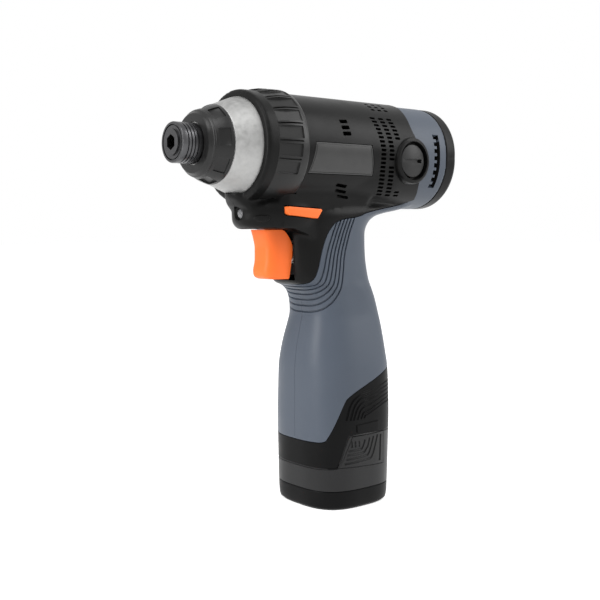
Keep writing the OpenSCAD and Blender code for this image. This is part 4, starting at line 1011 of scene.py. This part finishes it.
# Stick battery: outlines and lines on its side, in x and z
BUTTON = [(15.1, 22.1), (8.3, 37.1), (-13.5, 37.4), (-14.0, 20.8)]
LEDGE = [(5.9, 42.9), (-6.6, 43.5), (-9.6, 43.6), (-9.6, 38.6), (-8.3, 38.7), (5.7, 39.3)]
BAND_LOW, BAND_HIGH = 9.8, 21.4
BAND_LINE = [(-24.0, 37.6), (-8.0, 37.9), (9.6, 38.1), (11.2, 36.8), (15.5, 22.0),
             (18.0, BAND_HIGH), (24.0, BAND_HIGH)]
BATTERY_LINES = [
    [(12.1, 45.8), (9.4, 55.0), (-3.8, 60.1), (-15.7, 63.1)],
    [(9.8, 45.7), (6.9, 54.2), (-6.0, 59.0), (-16.5, 60.9)],
    [(7.9, 45.7), (4.9, 53.0), (-7.8, 57.4), (-16.9, 58.9)],
    [(5.4, 45.7), (3.0, 51.6), (-9.1, 55.5), (-17.3, 56.8)],
    [(3.1, 45.8), (1.2, 49.9), (-10.0, 53.5), (-16.7, 54.8)],
    [(1.0, 46.0), (-0.5, 48.6), (-10.6, 51.7), (-16.2, 52.8)]]
BUTTON_LINES = [
    [(-8.6, 36.4), (-5.2, 25.6), (-3.2, 24.5), (12.6, 23.7)],
    [(-5.6, 35.9), (-2.4, 27.2), (-0.6, 26.4), (11.8, 26.0)],
    [(-2.9, 35.5), (-0.3, 28.9), (1.1, 28.3), (11.3, 28.2)],
    [(0.2, 35.0), (1.7, 31.0), (3.0, 30.3), (10.7, 30.2)],
    [(9.0, 35.1), (8.6, 31.8)], [(6.8, 34.9), (6.4, 31.7)], [(4.2, 34.7), (3.9, 31.7)]]
BUTTON_SLIT = [(-11.2, 36.2), (-10.9, 22.4)]


def button_room(side, gap, root):
    """The button's outline, widened by a gap, from a root depth outwards on one side."""
    ways = ((1, -1), (1, 1), (-1, 1), (-1, -1))
    outline = [(x + gap * a, z + gap * b) for (x, z), (a, b) in zip(BUTTON, ways)]
    low, high = (root, 40.0) if side > 0 else (-40.0, -root)
    return prism("button_room", outline, low, high)


def battery_shell():
    shell = skin_solid("battery_case_shell", grip_ring, 9.95, 78.0, cuts=110, points=160)
    carve(shell, skin_solid("inside", grip_ring, 12.1, 80.0, inset=2.2, cuts=60))
    carve(shell, battery_region(0.4), "INTERSECT")
    stem = [(3.05, 19.9), (3.05, 21.0), (71.8, 21.0), (71.8, 19.9)]
    carve(shell, turned("stem", stem, ROUND, centre=(0.0, 0.0, 0.0), **UPRIGHT), "UNION")
    ledge = skin_solid("ledge", grip_ring, 30.0, 50.0, inset=-0.4, cuts=30, points=160)
    carve(ledge, skin_solid("ledge_root", grip_ring, 29.0, 51.0, inset=1.2, cuts=30))
    carve(ledge, prism("ledge_side", LEDGE, -40.0, 40.0), "INTERSECT")
    carve(shell, soften(ledge, 0.25, 2), "UNION")
    tools = [tube("line", skin_path(line, [(180.0, line[-1][1] + 1.6)]), 0.62)
             for line in BATTERY_LINES]
    carve(shell, joined("battery_lines", tools))
    carve(shell, tube("band_line", skin_path(BAND_LINE, [(0.0, BAND_HIGH)]), 0.55))
    for side in (1, -1):
        carve(shell, button_room(side, 0.3, 21.05))
    return shell


battery = dress(battery_shell(), "battery", "battery_shell", "battery_case")
battery.data.materials.append(FINISH["battery_band"])
for face in battery.data.polygons:
    x, _y, z = face.center / MM
    slant = 15.6 - (z - 22.0) * 0.29
    if BAND_LOW < z < BAND_HIGH or (BAND_HIGH <= z < 38.0 and x < slant):
        face.material_index = 1

base = skin_solid("battery_base_cover", grip_ring, 0.0, 9.65, cuts=24, points=160)
soften(base, 0.5, 2, 60.0)
carve(base, skin_solid("inside", grip_ring, 3.0, 20.0, inset=2.2, cuts=12))
screw_holes = [plain_cylinder("screw_hole", -2.0, 6.0, 2.3, 32,
                              centre=(16.2 * x - 1.0, 16.2 * y, 0.0), **UPRIGHT)
               for x in (-1, 1) for y in (-1, 1)]
carve(base, joined("screw_holes", screw_holes))
dress(base, "battery", "battery_shell", "battery_base")


def side_tube(line, side, radius):
    return tube("line", [(x, side * y, z) for x, y, z in skin_path(line)], radius)


def release_button(name, side):
    """A button cut from the battery's skin, with nested lines, three short slots and a slit."""
    button = skin_solid(name, grip_ring, 12.0, 46.0, cuts=40, points=160)
    carve(button, button_room(side, 0.0, 23.1), "INTERSECT")
    tools = [side_tube(line, side, 0.6) for line in BUTTON_LINES]
    tools.append(side_tube(BUTTON_SLIT, side, 0.8))
    return carve(button, joined("button_lines", tools))


for side, body in ((1, "release_button_left"), (-1, "release_button_right")):
    button = release_button(body + "_pad", side)
    dress(button, body, "battery_shell", body, finish="battery_band")


# Coil springs, each hung on the body that holds it
def coil_spring(node, body, held, way, radius, wire, length, turns):
    """A coil of wire from its held end along way, at its given length."""
    way, across = Vector(way), Vector((0.0, 0.0, 1.0))
    steps = 24
    points = []
    for i in range(steps * turns + 1):
        turn = 2.0 * math.pi * i / steps
        spot = Vector(held) + way * (wire + (length - 2.0 * wire) * i / (steps * turns))
        out = math.cos(turn) * across + math.sin(turn) * way.cross(across)
        points.append(spot + radius * out)
    spring = dress(tube(node + "_wire", points, wire, sides=3), body, "steel", node)
    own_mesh(spring)


coil_spring("hammer_spring", "spindle", (34.38, 0.0, AXIS_Z), (1, 0, 0),
            12.0, 1.25, 17.4, 5)
coil_spring("sleeve_spring", "anvil", (94.77, 0.0, AXIS_Z), (-1, 0, 0),
            7.1, 0.24, 4.54, 3)
coil_spring("trigger_spring", "housing", (25.06, 0.0, PLUNGER_Z), (1, 0, 0),
            5.4, 0.45, 10.88, 4)
for side, word in ((1, "left"), (-1, "right")):
    coil_spring("release_spring_" + word, "battery", (0.3, side * 21.03, 29.5),
                (0, side, 0), 2.0, 0.22, 3.04, 3)


# Stage: camera, light and floor
deselect()
bpy.ops.object.camera_add()
camera = named("photo_camera")
camera.data.sensor_width = 36.0
camera.data.lens = 57.96
camera.data.clip_start = 0.01
right = Vector((-0.772, 0.636, 0.0))
up = Vector((-0.0499, -0.0606, 0.9969))
back = Vector((0.634, 0.769, 0.0785))
view = Matrix((right, up, back)).transposed().to_4x4()
view.translation = Vector((0.3331, 0.3781, 0.1441))
camera.matrix_world = view
scene = bpy.context.scene
scene.camera = camera


def lamp(name, place, aim, size, watts):
    deselect()
    bpy.ops.object.light_add(type="AREA", location=place)
    light = bpy.context.object
    light.name = name
    light.data.shape = "RECTANGLE"
    light.data.size, light.data.size_y = size
    light.data.energy = watts
    light.rotation_euler = (Vector(aim) - Vector(place)).to_track_quat("-Z", "Y").to_euler()


lamp("top_softbox", (0.42, 0.36, 1.05), (0.0, 0.0, 0.15), (0.6, 0.6), 6.0)
lamp("front_softbox", (1.05, -0.15, 0.50), (0.0, 0.0, 0.12), (0.35, 0.9), 9.0)
lamp("rear_softbox", (-0.70, 0.60, 0.72), (0.0, 0.0, 0.12), (0.35, 0.9), 6.5)


def seen_rays(nodes, links):
    """One for rays that look at the white ground: the camera's, and those of metal and glass."""
    ray = nodes.new("ShaderNodeLightPath")
    shown = ray.outputs["Is Camera Ray"]
    for other in ("Is Glossy Ray", "Is Transmission Ray"):
        either = nodes.new("ShaderNodeMath")
        either.operation = "MAXIMUM"
        links.new(shown, either.inputs[0])
        links.new(ray.outputs[other], either.inputs[1])
        shown = either.outputs["Value"]
    return shown


WHITE = (1.0, 1.0, 1.0, 1.0)
world = bpy.data.worlds.new("studio")
scene.world = world
world.use_nodes = True
sky, links = world.node_tree.nodes, world.node_tree.links
mix = sky.new("ShaderNodeMixShader")
links.new(seen_rays(sky, links), mix.inputs["Fac"])
ambient, shown_white = sky["Background"], sky.new("ShaderNodeBackground")
for i, (ground, strength) in enumerate(((ambient, 0.45), (shown_white, 1.0))):
    ground.inputs["Color"].default_value = WHITE
    ground.inputs["Strength"].default_value = strength
    links.new(ground.outputs["Background"], mix.inputs[1 + i])
links.new(mix.outputs["Shader"], sky["World Output"].inputs["Surface"])

deselect()
bpy.ops.mesh.primitive_plane_add(size=12.0, location=(0.0, 0.0, -0.0002))
floor = named("pale_floor")
pale, nodes, links, shader = start_material("pale_floor_paint")
effect = placed(nodes, MOULD_GRAIN, Grain=300.0, Patch=3.0)
blend_colours(nodes, links, effect.outputs["Patches"], grey(0.93), grey(0.95),
              shader.inputs["Base Color"])
shader.inputs["Roughness"].default_value = 0.9
shader.inputs["Emission Color"].default_value = WHITE
lifted = nodes.new("ShaderNodeMath")
lifted.operation = "MULTIPLY"
lifted.inputs[1].default_value = 0.6
links.new(seen_rays(nodes, links), lifted.inputs[0])
links.new(lifted.outputs["Value"], shader.inputs["Emission Strength"])
floor.data.materials.append(pale)

scene.view_settings.view_transform = "Standard"
deselect()
